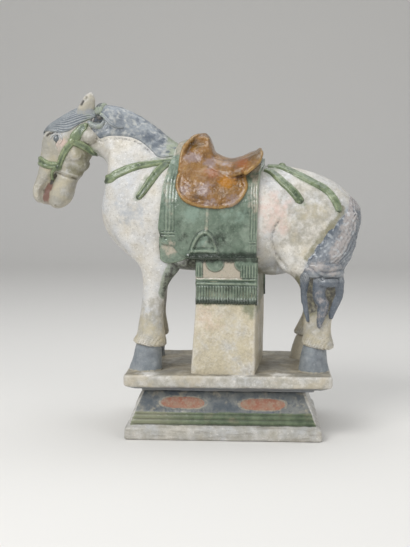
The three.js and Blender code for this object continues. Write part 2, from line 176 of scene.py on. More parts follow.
# Overlapping closed forms become one skin of even squares.
def fused(bm, voxel, smoothing):
    bmesh.ops.recalc_face_normals(bm, faces=bm.faces)
    mesh = bpy.data.meshes.new("rough")
    bm.to_mesh(mesh)
    bm.free()
    rough = bpy.data.objects.new("rough", mesh)
    bpy.context.scene.collection.objects.link(rough)
    fuse = rough.modifiers.new("fuse", "REMESH")
    fuse.mode = "VOXEL"
    fuse.voxel_size = voxel
    soften = rough.modifiers.new("soften", "SMOOTH")
    soften.factor = 0.5
    soften.iterations = smoothing
    whole = bmesh.new()
    whole.from_mesh(rough.evaluated_get(bpy.context.evaluated_depsgraph_get()).to_mesh())
    bpy.data.objects.remove(rough)
    bpy.data.meshes.remove(mesh)
    return whole


def spotsOf(bm):
    return np.array([v.co[:] for v in bm.verts])


def moveTo(bm, spots):
    for vert, spot in zip(bm.verts, spots):
        vert.co = spot
    bm.normal_update()


def raiseBy(bm, height):
    bm.normal_update()
    moveTo(bm, spotsOf(bm) + np.array([v.normal[:] for v in bm.verts]) * height[:, None])


def lumps(spots, size, seed):
    return np.array([noise.noise(Vector(s) / size + Vector((seed, seed, seed))) for s in spots])


# Uneven clay, from rows of height, size and seed.
def roughen(bm, *rows):
    spots = spotsOf(bm)
    raiseBy(bm, sum(height * lumps(spots, size, seed) for height, size, seed in rows))


def relax(bm, verts, rounds=1, factor=0.5):
    for _ in range(rounds):
        bmesh.ops.smooth_vert(bm, verts=verts, factor=factor, use_axis_x=True, use_axis_y=True, use_axis_z=True)


# The nearest places on a surface, and the way it faces there.
def landed(surface, guesses):
    found = [surface.find_nearest(Vector(g)) for g in guesses]
    return np.array([f[0][:] for f in found]), np.array([f[1][:] for f in found])


def edgeEnds(bm):
    bm.verts.index_update()
    return np.array([[e.verts[0].index, e.verts[1].index] for e in bm.edges]).T


# Positive in hollows, negative on ridges, in one over millimetres.
def hollowness(bm, rounds=2):
    bm.normal_update()
    spots = spotsOf(bm)
    normals = np.array([v.normal[:] for v in bm.verts])
    a, b = edgeEnds(bm)
    run = spots[b] - spots[a]
    square = np.maximum((run ** 2).sum(axis=1), 1e-6)
    count = len(spots)
    links = np.bincount(a, minlength=count) + np.bincount(b, minlength=count) + 1e-9
    value = (np.bincount(a, (run * normals[a]).sum(axis=1) / square, count)
             - np.bincount(b, (run * normals[b]).sum(axis=1) / square, count)) * 2 / links
    for _ in range(rounds):
        value = 0.5 * value + 0.5 * (np.bincount(a, value[b], count) + np.bincount(b, value[a], count)) / links
    return value


def finishPiece(name, bm, material, replaced="horse", tints=None, shift=figure["slabShift"]):
    values = {"hollow": np.clip(hollowness(bm) * 2, -1, 1), **(tints or {})}
    toFrame = Matrix.Scale(figure["unit"], 4) @ Matrix.Translation((shift, 0, 0))
    bmesh.ops.transform(bm, matrix=toFrame, verts=bm.verts)
    mesh = bpy.data.meshes.new(name)
    bm.to_mesh(mesh)
    bm.free()
    mesh.shade_smooth()
    mesh.materials.append(material)
    for key, amounts in values.items():
        mesh.attributes.new(key, "FLOAT", "POINT").data.foreach_set("value", np.asarray(amounts, np.float32))
    piece = bpy.data.objects.new(name, mesh)
    bpy.context.scene.collection.objects.link(piece)
    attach(piece, "root")
    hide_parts(replaced)
    print(name, len(mesh.polygons), "faces")


# Materials

# From the values a screen shows to the light that sockets want.
def paint(*shades):
    return tuple(((c / 255 + 0.055) / 1.055) ** 2.4 if c > 10 else c / 255 / 12.92 for c in shades) + (1,)


def feed(tree, socket, value):
    if isinstance(value, bpy.types.NodeSocket):
        tree.links.new(value, socket)
    else:
        socket.default_value = value


def mixed(tree, factor, first, second):
    node = tree.nodes.new("ShaderNodeMix")
    node.data_type = "RGBA"
    for index, value in ((0, factor), (6, first), (7, second)):
        feed(tree, node.inputs[index], value)
    return node.outputs[2]


def calc(tree, operation, first, second=0.0):
    node = tree.nodes.new("ShaderNodeMath")
    node.operation = operation
    feed(tree, node.inputs[0], first)
    feed(tree, node.inputs[1], second)
    return node.outputs[0]


def part(tree, value, share):
    return calc(tree, "MULTIPLY", value, share)


def spread(tree, value, low, high, toLow=0.0, toHigh=1.0):
    node = tree.nodes.new("ShaderNodeMapRange")
    node.interpolation_type = "SMOOTHSTEP"
    for index, amount in enumerate((value, low, high, toLow, toHigh)):
        feed(tree, node.inputs[index], amount)
    return node.outputs[0]


# Clouds of a given size in millimetres, as a mask from 0 to 1. Each lobe is another cut through them.
def clouds(tree, spot, size, low, high, detail=4.0, roughness=0.55, warp=0.0, lobe=0.0):
    node = tree.nodes.new("ShaderNodeTexNoise")
    node.noise_dimensions = "4D"
    feed(tree, node.inputs["Vector"], spot)
    for key, amount in (("W", lobe), ("Scale", 1000 / size), ("Detail", detail), ("Roughness", roughness),
                        ("Distortion", warp)):
        node.inputs[key].default_value = amount
    return spread(tree, node.outputs["Fac"], low, high)


# Clouds of one colour over another.
def clouded(tree, spot, under, over, share, *size, **more):
    return mixed(tree, part(tree, clouds(tree, spot, *size, **more), share), under, over)


def crackle(tree, spot, size, low, high):
    node = tree.nodes.new("ShaderNodeTexVoronoi")
    node.feature = "DISTANCE_TO_EDGE"
    feed(tree, node.inputs["Vector"], spot)
    node.inputs["Scale"].default_value = 1000 / size
    return spread(tree, node.outputs["Distance"], low, high, 1.0, 0.0)


def tint(tree, name):
    node = tree.nodes.new("ShaderNodeAttribute")
    node.attribute_name = name
    return node.outputs["Fac"]


def startMaterial(name):
    material = bpy.data.materials.new(name)
    material.use_nodes = True
    tree = material.node_tree
    spot = tree.nodes.new("ShaderNodeTexCoord").outputs["Object"]
    return material, tree, spot, tree.nodes["Principled BSDF"]


def addBump(tree, shader, height, depth):
    node = tree.nodes.new("ShaderNodeBump")
    node.inputs["Distance"].default_value = depth * figure["unit"]
    feed(tree, node.inputs["Height"], height)
    tree.links.new(node.outputs[0], shader.inputs["Normal"])


# The colour, the dull and glossy places, and the clear coat of a clay surface.
def dress(tree, spot, shader, colour, gloss, size, lobe, coat, coatRoughness):
    feed(tree, shader.inputs["Base Color"], colour)
    dull = clouds(tree, spot, size, 0.3, 0.7, lobe=lobe)
    feed(tree, shader.inputs["Roughness"], spread(tree, dull, 0.0, 1.0, *gloss))
    shader.inputs["Coat Weight"].default_value = coat
    shader.inputs["Coat Roughness"].default_value = coatRoughness


# The white slip that most of the figure wears, greyed, stained, speckled and finely crazed.
slip = {
    "cream": paint(216, 212, 204), "grey": paint(188, 191, 195), "tan": paint(188, 176, 150),
    "pale": paint(234, 231, 225), "darkBrown": paint(100, 92, 76), "pink": paint(214, 186, 174),
    "warm": paint(192, 180, 148), "blue": paint(104, 112, 124), "blueLight": paint(152, 159, 168),
    "green": paint(104, 124, 90), "oliveShade": paint(118, 114, 84), "red": paint(112, 74, 64), "dark": paint(58, 56, 54),
    "moss": paint(98, 108, 78), "speck": paint(132, 124, 108), "soilAndShade": paint(146, 142, 128),
}


def slipColour(tree, spot):
    base = mixed(tree, clouds(tree, spot, 40, 0.28, 0.72, detail=6), slip["cream"], slip["grey"])
    for shade, share, size, low, high, detail, lobe in (
            ("tan", 0.55, 17, 0.35, 0.8, 6, 3), ("speck", 0.4, 4.5, 0.5, 0.8, 3, 7),
            ("speck", 0.45, 1.7, 0.56, 0.74, 2, 17), ("pale", 0.6, 2.6, 0.56, 0.72, 2, 27)):
        base = clouded(tree, spot, base, slip[shade], share, size, low, high, detail, lobe=lobe)
    lines = part(tree, crackle(tree, spot, 5.2, 0.0, 0.045), clouds(tree, spot, 13, 0.4, 0.65, lobe=31))
    return mixed(tree, part(tree, lines, 0.3), base, slip["speck"])


# A stain follows its tint and has a clouded edge.
def stained(tree, base, spot, key, colour, size, lobe, most):
    edge = clouds(tree, spot, size, 0.2, 0.8, detail=6, roughness=0.65, lobe=lobe)
    wet = calc(tree, "ADD", tint(tree, key), part(tree, calc(tree, "SUBTRACT", edge, 0.5), 0.9))
    wet = part(tree, spread(tree, wet, 0.15, 0.85, 0.0, most), spread(tree, tint(tree, key), 0.0, 0.25))
    return mixed(tree, wet, base, colour)


# Each stain is a tint, a shade of slip, the size of its clouds and how far it covers.
def slipMaterial(name, stains, gloss=(0.4, 0.62)):
    material, tree, spot, shader = startMaterial(name)
    colour = slipColour(tree, spot)
    for index, (key, shade, size, most) in enumerate(stains):
        colour = stained(tree, colour, spot, key, slip[shade], size, 11.0 + index, most)
    hollow = tint(tree, "hollow")
    # Painted shade and grime: the slip turns dark brown in hollows and creases, broken by clouds.
    hollowShadeAndGrime = part(tree, spread(tree, hollow, 0.04, 0.8), clouds(tree, spot, 9, 0.1, 0.5, lobe=5))
    colour = mixed(tree, part(tree, hollowShadeAndGrime, 0.7), colour, slip["darkBrown"])
    colour = mixed(tree, part(tree, spread(tree, hollow, -0.08, -0.5), 0.3), colour, slip["pale"])
    dress(tree, spot, shader, colour, gloss, 11, 9, 0.12, 0.3)
    grain = part(tree, clouds(tree, spot, 5, 0.3, 0.7, lobe=2), 1.6)
    addBump(tree, shader, calc(tree, "ADD", clouds(tree, spot, 1.6, 0.2, 0.8), grain), 0.2)
    return material


# Lead glazes: deep where they pool, pale where they run thin. A patch is a tint, a colour, a size and a share.
def glazeMaterial(name, deep, middle, thin, patches, gloss, bare=None, depth=0.2, mottle=1.0, coat=0.5):
    material, tree, spot, shader = startMaterial(name)
    washed = mixed(tree, 0.45, middle, thin)
    colour = mixed(tree, clouds(tree, spot, 30, 0.25, 0.75, detail=6, warp=0.5), middle, washed)
    colour = clouded(tree, spot, colour, thin, 0.7 * mottle, 9, 0.42, 0.8, 6, lobe=4)
    colour = clouded(tree, spot, colour, deep, 0.75 * mottle, 14, 0.42, 0.8, 6, lobe=8)
    for index, (key, shade, size, most) in enumerate(patches):
        colour = stained(tree, colour, spot, key, shade, size, 21.0 + index, most)
    hollow = tint(tree, "hollow")
    colour = mixed(tree, part(tree, spread(tree, hollow, 0.02, 0.6), 0.7), colour, deep)
    wear = part(tree, spread(tree, hollow, -0.05, -0.6), clouds(tree, spot, 5, 0.2, 0.6, lobe=6))
    calm = spread(tree, tint(tree, "dark"), 0.1, 0.7, 1.0, 0.12)
    colour = mixed(tree, part(tree, wear, part(tree, calm, 0.55)), colour, bare or thin)
    flecks = part(tree, clouds(tree, spot, 2.4, 0.54, 0.74, detail=3, lobe=10), calm)
    colour = mixed(tree, part(tree, flecks, 0.45 * mottle), colour, thin)
    colour = clouded(tree, spot, colour, deep, 0.4 * mottle, 1.6, 0.58, 0.76, 2, lobe=20)
    dress(tree, spot, shader, colour, gloss, 8, 12, coat, 0.12)
    runs = part(tree, clouds(tree, spot, 7, 0.25, 0.75, lobe=3), 2.0)
    addBump(tree, shader, calc(tree, "ADD", clouds(tree, spot, 2.4, 0.2, 0.8), runs), depth)
    return material


skinClay = slipMaterial("skinSlip", (
    ("soilAndShade", "soilAndShade", 7, 0.75), ("warm", "warm", 18, 0.7), ("pink", "pink", 14, 0.75), ("greenBleed", "green", 9, 0.55),
    ("oliveShade", "oliveShade", 8, 0.75), ("blueBleed", "blueLight", 10, 0.7), ("blue", "blue", 7, 0.9), ("red", "red", 9, 0.88),
    ("dark", "dark", 4, 0.9)))
columnClay = slipMaterial("columnSlip", (
    ("warm", "warm", 12, 0.8), ("pink", "pink", 8, 0.35), ("soilAndShade", "speck", 2.4, 0.4), ("worn", "pale", 3, 0.35),
    ("greenBleed", "moss", 9, 0.7)), gloss=(0.45, 0.7))
slabClay = slipMaterial("slabSlip", (
    ("soilAndShade", "soilAndShade", 9, 0.7), ("warm", "tan", 16, 0.6), ("dark", "darkBrown", 12, 0.6), ("greenBleed", "blue", 12, 0.7),
    ("worn", "pale", 7, 0.8)), gloss=(0.4, 0.65))
maneGlaze = glazeMaterial("maneGlaze", paint(76, 84, 94), paint(118, 125, 132), paint(156, 160, 162), (
    ("cream", paint(184, 184, 178), 2.5, 0.65), ("green", paint(138, 148, 122), 7, 0.9),
    ("dark", paint(74, 84, 96), 6, 0.85), ("black", paint(40, 44, 42), 4, 0.97)),
    gloss=(0.35, 0.55), bare=paint(158, 162, 160), coat=0.15, mottle=1.2)
eyeGlaze = glazeMaterial("eyeGlaze", paint(46, 52, 56), paint(76, 84, 90), paint(112, 118, 120), (),
                         gloss=(0.25, 0.45), coat=0.3)
hoofGlaze = glazeMaterial("hoofGlaze", paint(88, 94, 102), paint(122, 130, 136), paint(158, 162, 164), (
    ("cream", paint(190, 182, 162), 4, 0.9),), gloss=(0.35, 0.55), bare=paint(164, 166, 162), coat=0.15, mottle=1.2)
tailGlaze = glazeMaterial("tailGlaze", paint(72, 78, 86), paint(106, 113, 122), paint(148, 152, 156), (
    ("dark", paint(84, 93, 104), 6, 0.85), ("cream", paint(176, 166, 160), 5, 0.7),
    ("pale", paint(190, 195, 198), 2.5, 0.55)), gloss=(0.14, 0.34), bare=paint(170, 172, 170), depth=0.3, mottle=1.3)
clothGlaze = glazeMaterial("clothGlaze", paint(40, 58, 42), paint(90, 108, 91), paint(142, 155, 139), (
    ("cream", paint(184, 172, 155), 6, 0.85), ("light", paint(134, 154, 140), 9, 0.8),
    ("dark", paint(26, 38, 24), 7, 0.95)), gloss=(0.08, 0.3), bare=paint(150, 160, 138), mottle=1.25)
strapGlaze = glazeMaterial("strapGlaze", paint(42, 58, 36), paint(90, 108, 76), paint(142, 152, 122), (
    ("blue", paint(104, 116, 102), 5, 0.85), ("dark", paint(40, 52, 36), 5, 0.85)),
    gloss=(0.2, 0.42), bare=paint(156, 164, 122), mottle=1.5, coat=0.3)
saddleGlaze = glazeMaterial("saddleGlaze", paint(70, 44, 18), paint(128, 86, 32), paint(154, 120, 70), (
    ("violet", paint(142, 122, 116), 6, 0.92), ("yellow", paint(162, 106, 2), 6, 0.95),
    ("orange", paint(142, 78, 22), 7, 0.85), ("amber", paint(98, 70, 22), 6, 0.95)),
    gloss=(0.08, 0.26), bare=paint(182, 148, 84), depth=0.32, mottle=1.4, coat=0.32)
print("materials ready")


# The horse's bare form

horseForm = {
    "trunk": [
        (158, 261, 153.5, 236, 20), (154, 273.5, 148, 220, 37), (142.5, 286.8, 138, 203, 49),
        (124.5, 300.5, 124, 194, 57), (99, 311.5, 100, 190, 60), (70, 318, 72, 190, 60), (30, 320, 32, 190, 59),
        (-10, 324, -10, 190, 59), (-45, 336, -48, 192, 58, 0, 0.1), (-66, 346, -80, 196, 57, 0, 0.25),
        (-82, 358.5, -110, 202, 54, 0, 0.35), (-98, 371, -132, 218, 49, 0, 0.42),
        (-114, 380.5, -149, 238, 42, 0, 0.45), (-128, 386.5, -154.5, 262, 36, 0, 0.36),
        (-139, 389.5, -145.5, 288, 31, 0, 0.15), (-149, 391, -144.5, 308, 27), (-160, 389, -151.5, 325, 23),
        (-170, 381, -165, 342, 19)],
    "skull": [
        (-172, 391, -154, 381, 9), (-188, 386, -155, 366, 15), (-206, 376.5, -160, 350, 19),
        (-221, 366, -165, 336, 21), (-228, 353, -172, 324, 20), (-230.5, 338, -176.5, 314, 17),
        (-232, 324, -181.5, 306.5, 15), (-232, 314, -186, 303, 12)],
    "upperLip": [
        (-230, 334, -205, 318, 15), (-232.5, 319, -212, 307, 15.5), (-237, 304, -221, 298.5, 14.5),
        (-241.4, 291, -228.4, 289, 14.5), (-240.5, 280.5, -228.4, 279.5, 12.5), (-236, 274, -229.5, 274.3, 6)],
    "lowerLip": [
        (-213, 316, -179, 308, 14), (-213, 306, -185.5, 302, 15), (-217.5, 296, -189.5, 291, 15.5),
        (-221.5, 284, -192, 281, 15.5), (-220.5, 273.5, -198, 272.5, 13), (-215.5, 267.6, -207, 267.4, 6)],
    "gums": [
        (-222, 318, -206, 312, 8), (-223, 304, -212, 301, 8), (-228, 290, -217, 290, 7.5), (-230, 278, -219, 278, 7),
        (-229.5, 272.5, -218.5, 271.5, 4)],
    "foreleg": [
        (-144, 262, -62, 262, 14, -32), (-136, 238, -57, 236, 17, -36), (-120, 216, -55, 212, 18, -38),
        (-106.5, 201, -58.5, 196, 17, -40), (-102, 188, -67, 185, 14.5, -41), (-102, 170, -74.5, 170, 13, -42),
        (-103.5, 150, -76.5, 150, 13, -42), (-106.5, 133, -77, 133, 14, -42), (-109, 120, -75, 120, 16, -42),
        (-114, 111.5, -73.5, 107, 18.5, -42), (-108, 108, -79, 104, 15, -42)],
    "hindLeg": [
        (48, 262, 150, 262, 14, -40), (50, 236, 150, 238, 16.5, -41), (55, 214, 144, 213, 20, -42),
        (61, 198, 137, 201, 20, -42), (75, 189, 135, 190, 18, -42), (83.5, 177, 134, 177, 16.5, -42),
        (87.5, 160, 130, 160, 14, -42), (88, 147, 125, 147, 13, -42), (88.5, 133, 121, 133, 13, -42),
        (88.5, 120, 121.5, 120, 15, -42), (86, 110, 125, 105.5, 18, -42), (89.5, 107, 119, 102.5, 14.5, -42)],
    "foreLeads": [-5] * 11, "hindLeads": [0, 0, 0, 0, 0, 1, 4, 5, 3, -3, -5, -5],
    # Eye, cheek, jaw, shoulder and poll on each side, and the throat and belly in the middle: spot and radii.
    "sideBalls": [((-167.8, 17.5, 354), (9.3, 8, 9.3)), ((-185.5, 12.5, 333.5), (13, 8.2, 12.5)),
                  ((-184, 9, 321.5), (12, 7, 10)), ((-56, 45, 208), (11, 13, 9)), ((-155, 15, 370.5), (9, 7, 9))],
    "middleBalls": [((-156, 0, 341.5), (16, 20, 11)), ((52, 0, 195), (24, 34, 8))],
    "voxel": 2.1, "smoothing": 4, "throatRounds": 45,
}


def bareHorse():
    form = horseForm
    bm = bmesh.new()
    loft(bm, form["trunk"], 110, 60)
    for key in ("skull", "upperLip", "lowerLip", "gums"):
        loft(bm, form[key], 40, 44)
    for key, leads in (("foreleg", form["foreLeads"]), ("hindLeg", form["hindLeads"])):
        loft(bm, form[key], 60, 36)
        loft(bm, led(form[key], leads), 60, 36, side=-1)
    for side in (-1, 1):
        for (x, y, z), radii in form["sideBalls"]:
            ball(bm, (x, side * y, z), radii)
    for spot, radii in form["middleBalls"]:
        ball(bm, spot, radii)
    return fused(bm, form["voxel"], form["smoothing"])


# Carving on both flanks, drawn in the side view: path, width, height.
carving = {
    "thigh": ([(62, 258), (58.5, 253.5), (54.2, 248.6), (51, 237.7), (51.7, 226.7), (57.2, 213), (65.6, 201.9),
               (69.6, 197.9)], 1.8, -2.0),
    "thighLip": ([(56, 257), (50, 248), (46.5, 238), (47.2, 226), (52.5, 212)], 3.0, 0.9),
    "brow": ([(-225, 353), (-220.5, 357.5), (-213, 360), (-205, 359)], 1.7, 1.5),
    "browLine": ([(-221, 354.5), (-217, 357.2), (-211, 357.6)], 0.9, -1.2),
    "socket": ([(-208.5, 351.2), (-206.5, 350.8)], 6.5, -2.0),
    "wrinkleA": ([(-201, 345), (-198, 341), (-196.5, 337.5)], 0.8, -0.7),
    "wrinkleB": ([(-204, 343.5), (-201.5, 339)], 0.8, -0.7),
    "wrinkleC": ([(-208, 343), (-206.5, 338.5)], 0.8, -0.6),
    "cheekRim": ([(-176, 347.5), (-171, 344), (-164, 344.5), (-159, 349), (-158, 356), (-161.5, 362.5)], 1.3, -0.7),
    "jaw": ([(-193, 326), (-186, 323.5), (-178, 326.5), (-174.5, 333)], 1.8, -0.9),
    "jawBack": ([(-197, 343), (-195, 336), (-196, 329)], 1.8, -0.8),
    "chin": ([(-211, 310.8), (-209.6, 310.2), (-200.5, 307.2), (-191.4, 304.2), (-181, 302.5)], 1.2, -1.3),
    "maneEdge": ([(-160, 352), (-153.7, 347.6), (-147.7, 349.2), (-139.3, 350.8), (-128.5, 350.7), (-117.8, 349.4),
                  (-108.2, 346), (-101.1, 341.3), (-92.8, 334.2), (-86, 327.5)], 1.1, -1.3),
    "collar": ([(-205, 313.5), (-197, 310.8), (-189.5, 308), (-183, 306.5)], 2.0, 1.2),
    "chinKnob": ([(-183.5, 305.5), (-182.5, 305)], 2.6, 1.4),
    "noseSide": ([(-221, 342), (-221.5, 332)], 4.0, -0.8),
    "nostril": ([(-234.5, 296), (-233.5, 292)], 2.0, -0.9),
    "lipNotch": ([(-212.5, 272), (-211, 269)], 1.3, -1.2),
    "curl": ([(-163, 375.6), (-157, 374.4), (-151, 373.6)], 3.2, -5.0),
}


# The head and the fetlocks get finer squares, and the throat is smoothed most.
def carveHorse(bm):
    fine = [e for e in bm.edges if all(
        (v.co.x < -152 and v.co.z > 262) or (v.co.z < 126 and abs(v.co.y) > 20) for v in e.verts)]
    bmesh.ops.subdivide_edges(bm, edges=fine, cuts=1, use_grid_fill=True)
    relax(bm, list({v for e in fine if e.is_valid for v in e.verts}))
    throat = [v for v in bm.verts if -168 < v.co.x < -122 and 272 < v.co.z < 338]
    relax(bm, throat, horseForm["throatRounds"])
    spots = spotsOf(bm)
    x, y, z = spots.T
    flat = spots[:, [0, 2]]
    flank = ramp(np.abs(y), 3, 10)
    height = np.zeros(len(spots))
    for path, width, rise in carving.values():
        line = smoothLine(path, 24)
        reach = 3 * width
        close = ((flat > line.min(axis=0) - reach) & (flat < line.max(axis=0) + reach)).all(axis=1)
        gap, along = lineDistance(flat[close], line)
        height[close] += rise * hill(gap, width) * flank[close] * ramp(np.minimum(along, 1 - along), -0.01, 0.12)
    # Small cuts over the fetlocks
    ticks = np.sin(x * 1.3 + z * 0.9) * np.sin(z * 1.7 - x * 0.35 + y)
    height -= 0.75 * np.clip(ticks, 0, 1) * ramp(z, 125, 115)
    height += 0.55 * lumps(spots, 24, 1.7) + 0.16 * lumps(spots, 6.5, 5.1)
    raiseBy(bm, height)


bodyTints = {
    "tailRun": [[(150, 262), (141, 250), (131, 232), (118, 214), (106, 203)]],
    "strapLines": [
        [(-62, 327.5), (-90, 322.8), (-112, 317.4), (-130, 310), (-145, 301)],
        [(-75, 321), (-90.8, 307.3), (-99, 295.8), (-107, 281)], [(46, 312), (63, 299), (73, 290), (85, 275)],
        [(48, 318), (66, 315.6), (83, 307), (100, 298), (114, 290), (123, 278.6), (127, 264)],
        [(-172, 366), (-185, 352), (-195, 340), (-204, 323), (-214, 308)], [(-188, 348), (-168.6, 338), (-153, 325)],
        [(-236, 327), (-224, 322), (-206, 319)]],
    "legRun": [[(-64, 208), (-64, 200), (-69, 190), (-72, 178), (-74, 168)]],
    "tailEdge": [[(124, 276), (130.5, 266), (128, 258), (116, 244), (104, 229), (92, 212)]],
    "hindStreak": [[(133, 190), (133, 172), (125, 156), (119, 146)]],
    "redMouth": [[(-219, 295), (-222.5, 288), (-224, 281), (-224, 275)]],
    "mouthTop": [[(-211, 308), (-214.5, 303), (-217, 298)]], "mouthCorner": [[(-212, 306), (-216.5, 299), (-220, 293)]],
    "wrinkles": [[(-201, 345), (-198, 341), (-196.5, 337.5)], [(-207, 344), (-205, 337)]],
    "darkLines": [
        [(-158.6, 375.2), (-151.6, 373.6)], [(-168, 368.6), (-163.5, 363), (-157, 360.2), (-150.5, 361.5)],
        [(-174, 368), (-171, 366)], [(-220.5, 355), (-217, 357.4), (-211, 357.6)]],
    "fineLines": [
        [(-211, 310.8), (-200.5, 307.2), (-191.4, 304.2), (-182, 302.8)],
        [(-160, 352), (-153.7, 347.6), *carving["maneEdge"][0][3:]], carving["thigh"][0][1:]],
    "jawShade": [[(-178, 338), (-173, 330), (-176, 320), (-186, 312)]],
}


# The painted shadow in the hollow under the curl at the poll.
def curlShadow(x, z, outer, inner):
    return ramp(np.hypot((x + 158) / 1.9, z - 374.6), outer, inner)


def tintHorse(bm):
    spots = spotsOf(bm)
    x, y, z = spots.T
    out = np.abs(y)
    nearSide = ramp(y, 4, -16)
    head = ramp(x - 0.6 * (z - 330), -150, -172)
    # Painted shadow on the near side's belly under the cloth's corner, dark and green-tinged.
    belly = ramp(z, 214, 206) * ramp(np.abs(x + 48), 20, 12) * nearSide
    rump = ramp(z, 188, 205) * ramp(x - 0.8 * (z - 240), 108, 122) * ramp(y, 14, -12)

    def near(key, outer, inner):
        return strongest(*(ramp(pathGap(spots, path), outer, inner) for path in bodyTints[key]))

    return {
        "blueBleed": strongest(near("tailRun", 30, 10) * rump, marks(x, z, (-116, 262, 22, 0.5), (-207, 356, 6))),
        "blue": 0.8 * near("hindStreak", 5, 1) * nearSide,
        "greenBleed": strongest(0.6 * near("strapLines", 7.5, 2.5), near("legRun", 9.5, 6), 0.9 * belly),
        "pink": strongest(marks(x, z, (54, 264, 26, 0.55), (-199, 344, 7, 0.75)), 0.6 * near("wrinkles", 3, 0.6),
                          0.5 * hill(np.hypot(x - 143, (z - 236) * 0.6), 14)),
        # Painted shade, partly grime: grey-brown where the light falls off on the head, neck, rump and lower legs,
        # under the belly and between the tail's locks.
        "soilAndShade": strongest(head * (0.72 + 0.2 * ramp(x, -198, -210)), mark(x, z, -118, 328, 30, 0.25),
                          0.58 * hill(np.hypot(x - 92, (z - 254) * 0.8), 50), 0.6 * ramp(z, 190, 130),
                          0.8 * ramp(z, 207, 195) * (np.abs(x) < 56), 0.35 * hill(x - 146, 16),
                          0.95 * ramp(z, 198, 188) * ramp(z, 128, 142) * (x > 78) * nearSide),
        "warm": np.clip(0.55 * ramp(z, 190, 110) + 0.35 * ramp(np.abs(x + 215), 50, 20)
                        + mark(x, z, 98, 248, 46, 0.36), 0, 1),
        "red": 0.85 * near("redMouth", 6, 2.2) * ramp(out, 14.5, 12) * ramp(z, 268, 280),
        # Painted shade in dark grey: along carved lines and grooves, at the brow under the forelock, in the mouth's
        # top, under the curl, under the belly and between the tail's locks; on the foreleg it joins the green glaze's
        # run.
        "dark": strongest(0.9 * near("darkLines", 2.2, 0.6), near("mouthTop", 3, 1.2) * ramp(out, 15.5, 13),
                          0.95 * curlShadow(x, z, 7, 3.5), 0.6 * near("legRun", 8, 2),
                          0.6 * belly, 0.64 * ramp(z, 196, 186) * ramp(z, 140, 152) * ramp(x, 84, 90) * nearSide,
                          0.3 * near("fineLines", 3, 0.6)),
        # Painted shade in olive: on the jaw, along the tail's near edge, in the mouth's corners and between the tail's
        # locks.
        "oliveShade": strongest(0.72 * near("jawShade", 16, 3), 0.8 * near("tailEdge", 8, 2) * nearSide,
                           0.75 * near("mouthCorner", 5, 2) * ramp(out, 15, 12),
                           0.75 * ramp(z, 196, 184) * ramp(z, 136, 150) * (x > 78) * nearSide),
    }


body = bareHorse()
print("horse fused", len(body.verts))
carveHorse(body)
skin = BVHTree.FromBMesh(body)
finishPiece("horseSkin", body, skinClay, tints=tintHorse(body))


# Bands, ropes of hair and lids laid on the skin

def onSkin(surface, x, z, side):
    hit = surface.ray_cast(Vector((x, side * figure["outside"], z)), Vector((0, -side, 0)))[0]
    return hit if hit else surface.find_nearest(Vector((x, side * 8, z)))[0]


def rounding(t, groove, square):
    return (1 - np.abs(t) ** square) * (1 - groove * hill(t, 0.35))


# A strap laid along a line on the skin. Its width may be one number or a row of widths from end to end.
def band(bm, surface, guide, width, lift, groove, loose=(True, True), across=14, step=1.1, sink=1.4, strands=0.0,
         square=4.0):
    line, lean = landed(surface, evenLine([list(p) for p in guide], step))
    for _ in range(3):
        line[1:-1] = (line[:-2] + 2 * line[1:-1] + line[2:]) / 4
        lean[1:-1] = (lean[:-2] + 2 * lean[1:-1] + lean[2:]) / 4
    aside = np.cross(np.gradient(line, axis=0), lean)
    aside /= np.linalg.norm(aside, axis=1)[:, None]
    rows = len(line) - 1
    widths = np.atleast_1d(width)

    # Free ends are rounded off over about half a width.
    def place(u, v):
        row = np.round(u * rows).astype(int)
        t = v * 2 - 1
        reach = np.interp(u, np.linspace(0, 1, len(widths)), widths)
        ends = np.ones(len(u))
        for free, run in zip(loose, (row * step, (rows - row) * step)):
            if free:
                ends = np.minimum(ends, np.sqrt(np.clip(1 - (1 - np.clip(run / (reach * 0.55), 0, 1)) ** 2, 0.002, 1)))
        guess = line[row] + aside[row] * (t * reach / 2 * ends)[:, None]
        height = lift * rounding(t, groove, square) * np.sqrt(ends) - sink * np.abs(t) ** 8
        height += 0.12 * np.sin(row * 0.9 + t) * (1 - np.abs(t))
        height -= strands * (0.5 + 0.5 * np.cos(t * reach * 1.5 + 2.5 * np.sin(row * 0.16))) * (1 - np.abs(t) ** 4)
        return landed(surface, guess)[0] + lean[row] * height[:, None]

    gridForm(bm, rows, across, place)


# A swelling laid on the skin between two edge lines.
def swelling(bm, surface, left, right, lift, rows, across):
    near, far = smoothLine(left, rows + 1), smoothLine(right, rows + 1)

    def place(u, v):
        row = np.round(u * rows).astype(int)
        t = v * 2 - 1
        guess = near[row] + (far[row] - near[row]) * v[:, None]
        guess[:, 0] += 12 * (1 - t * t)
        guess[:, 1] -= 12 * (1 - t * t)
        ground, lean = landed(surface, guess)
        strands = 0.5 + 0.5 * np.cos(v * 62 + 3 * np.sin(u * 8) + 1.5 * np.sin(u * 23))
        crest = lift * (1 - 0.6 * ramp(v, 0.25, 0.6)) - 0.5 * strands
        height = crest * (1 - np.abs(t) ** 3) * np.sqrt(ramp(u, -0.02, 0.2))
        height -= 0.6 * np.maximum(np.abs(t) ** 10, ramp(u, 0.03, 0))
        return ground + lean * height[:, None]

    gridForm(bm, rows, across, place)


def sideGuide(surface, path, side):
    return [onSkin(surface, x, z, side) for x, z in path]


def dropLoose(bm):
    bmesh.ops.delete(bm, geom=[v for v in bm.verts if not v.link_faces], context="VERTS")
    bmesh.ops.recalc_face_normals(bm, faces=bm.faces)


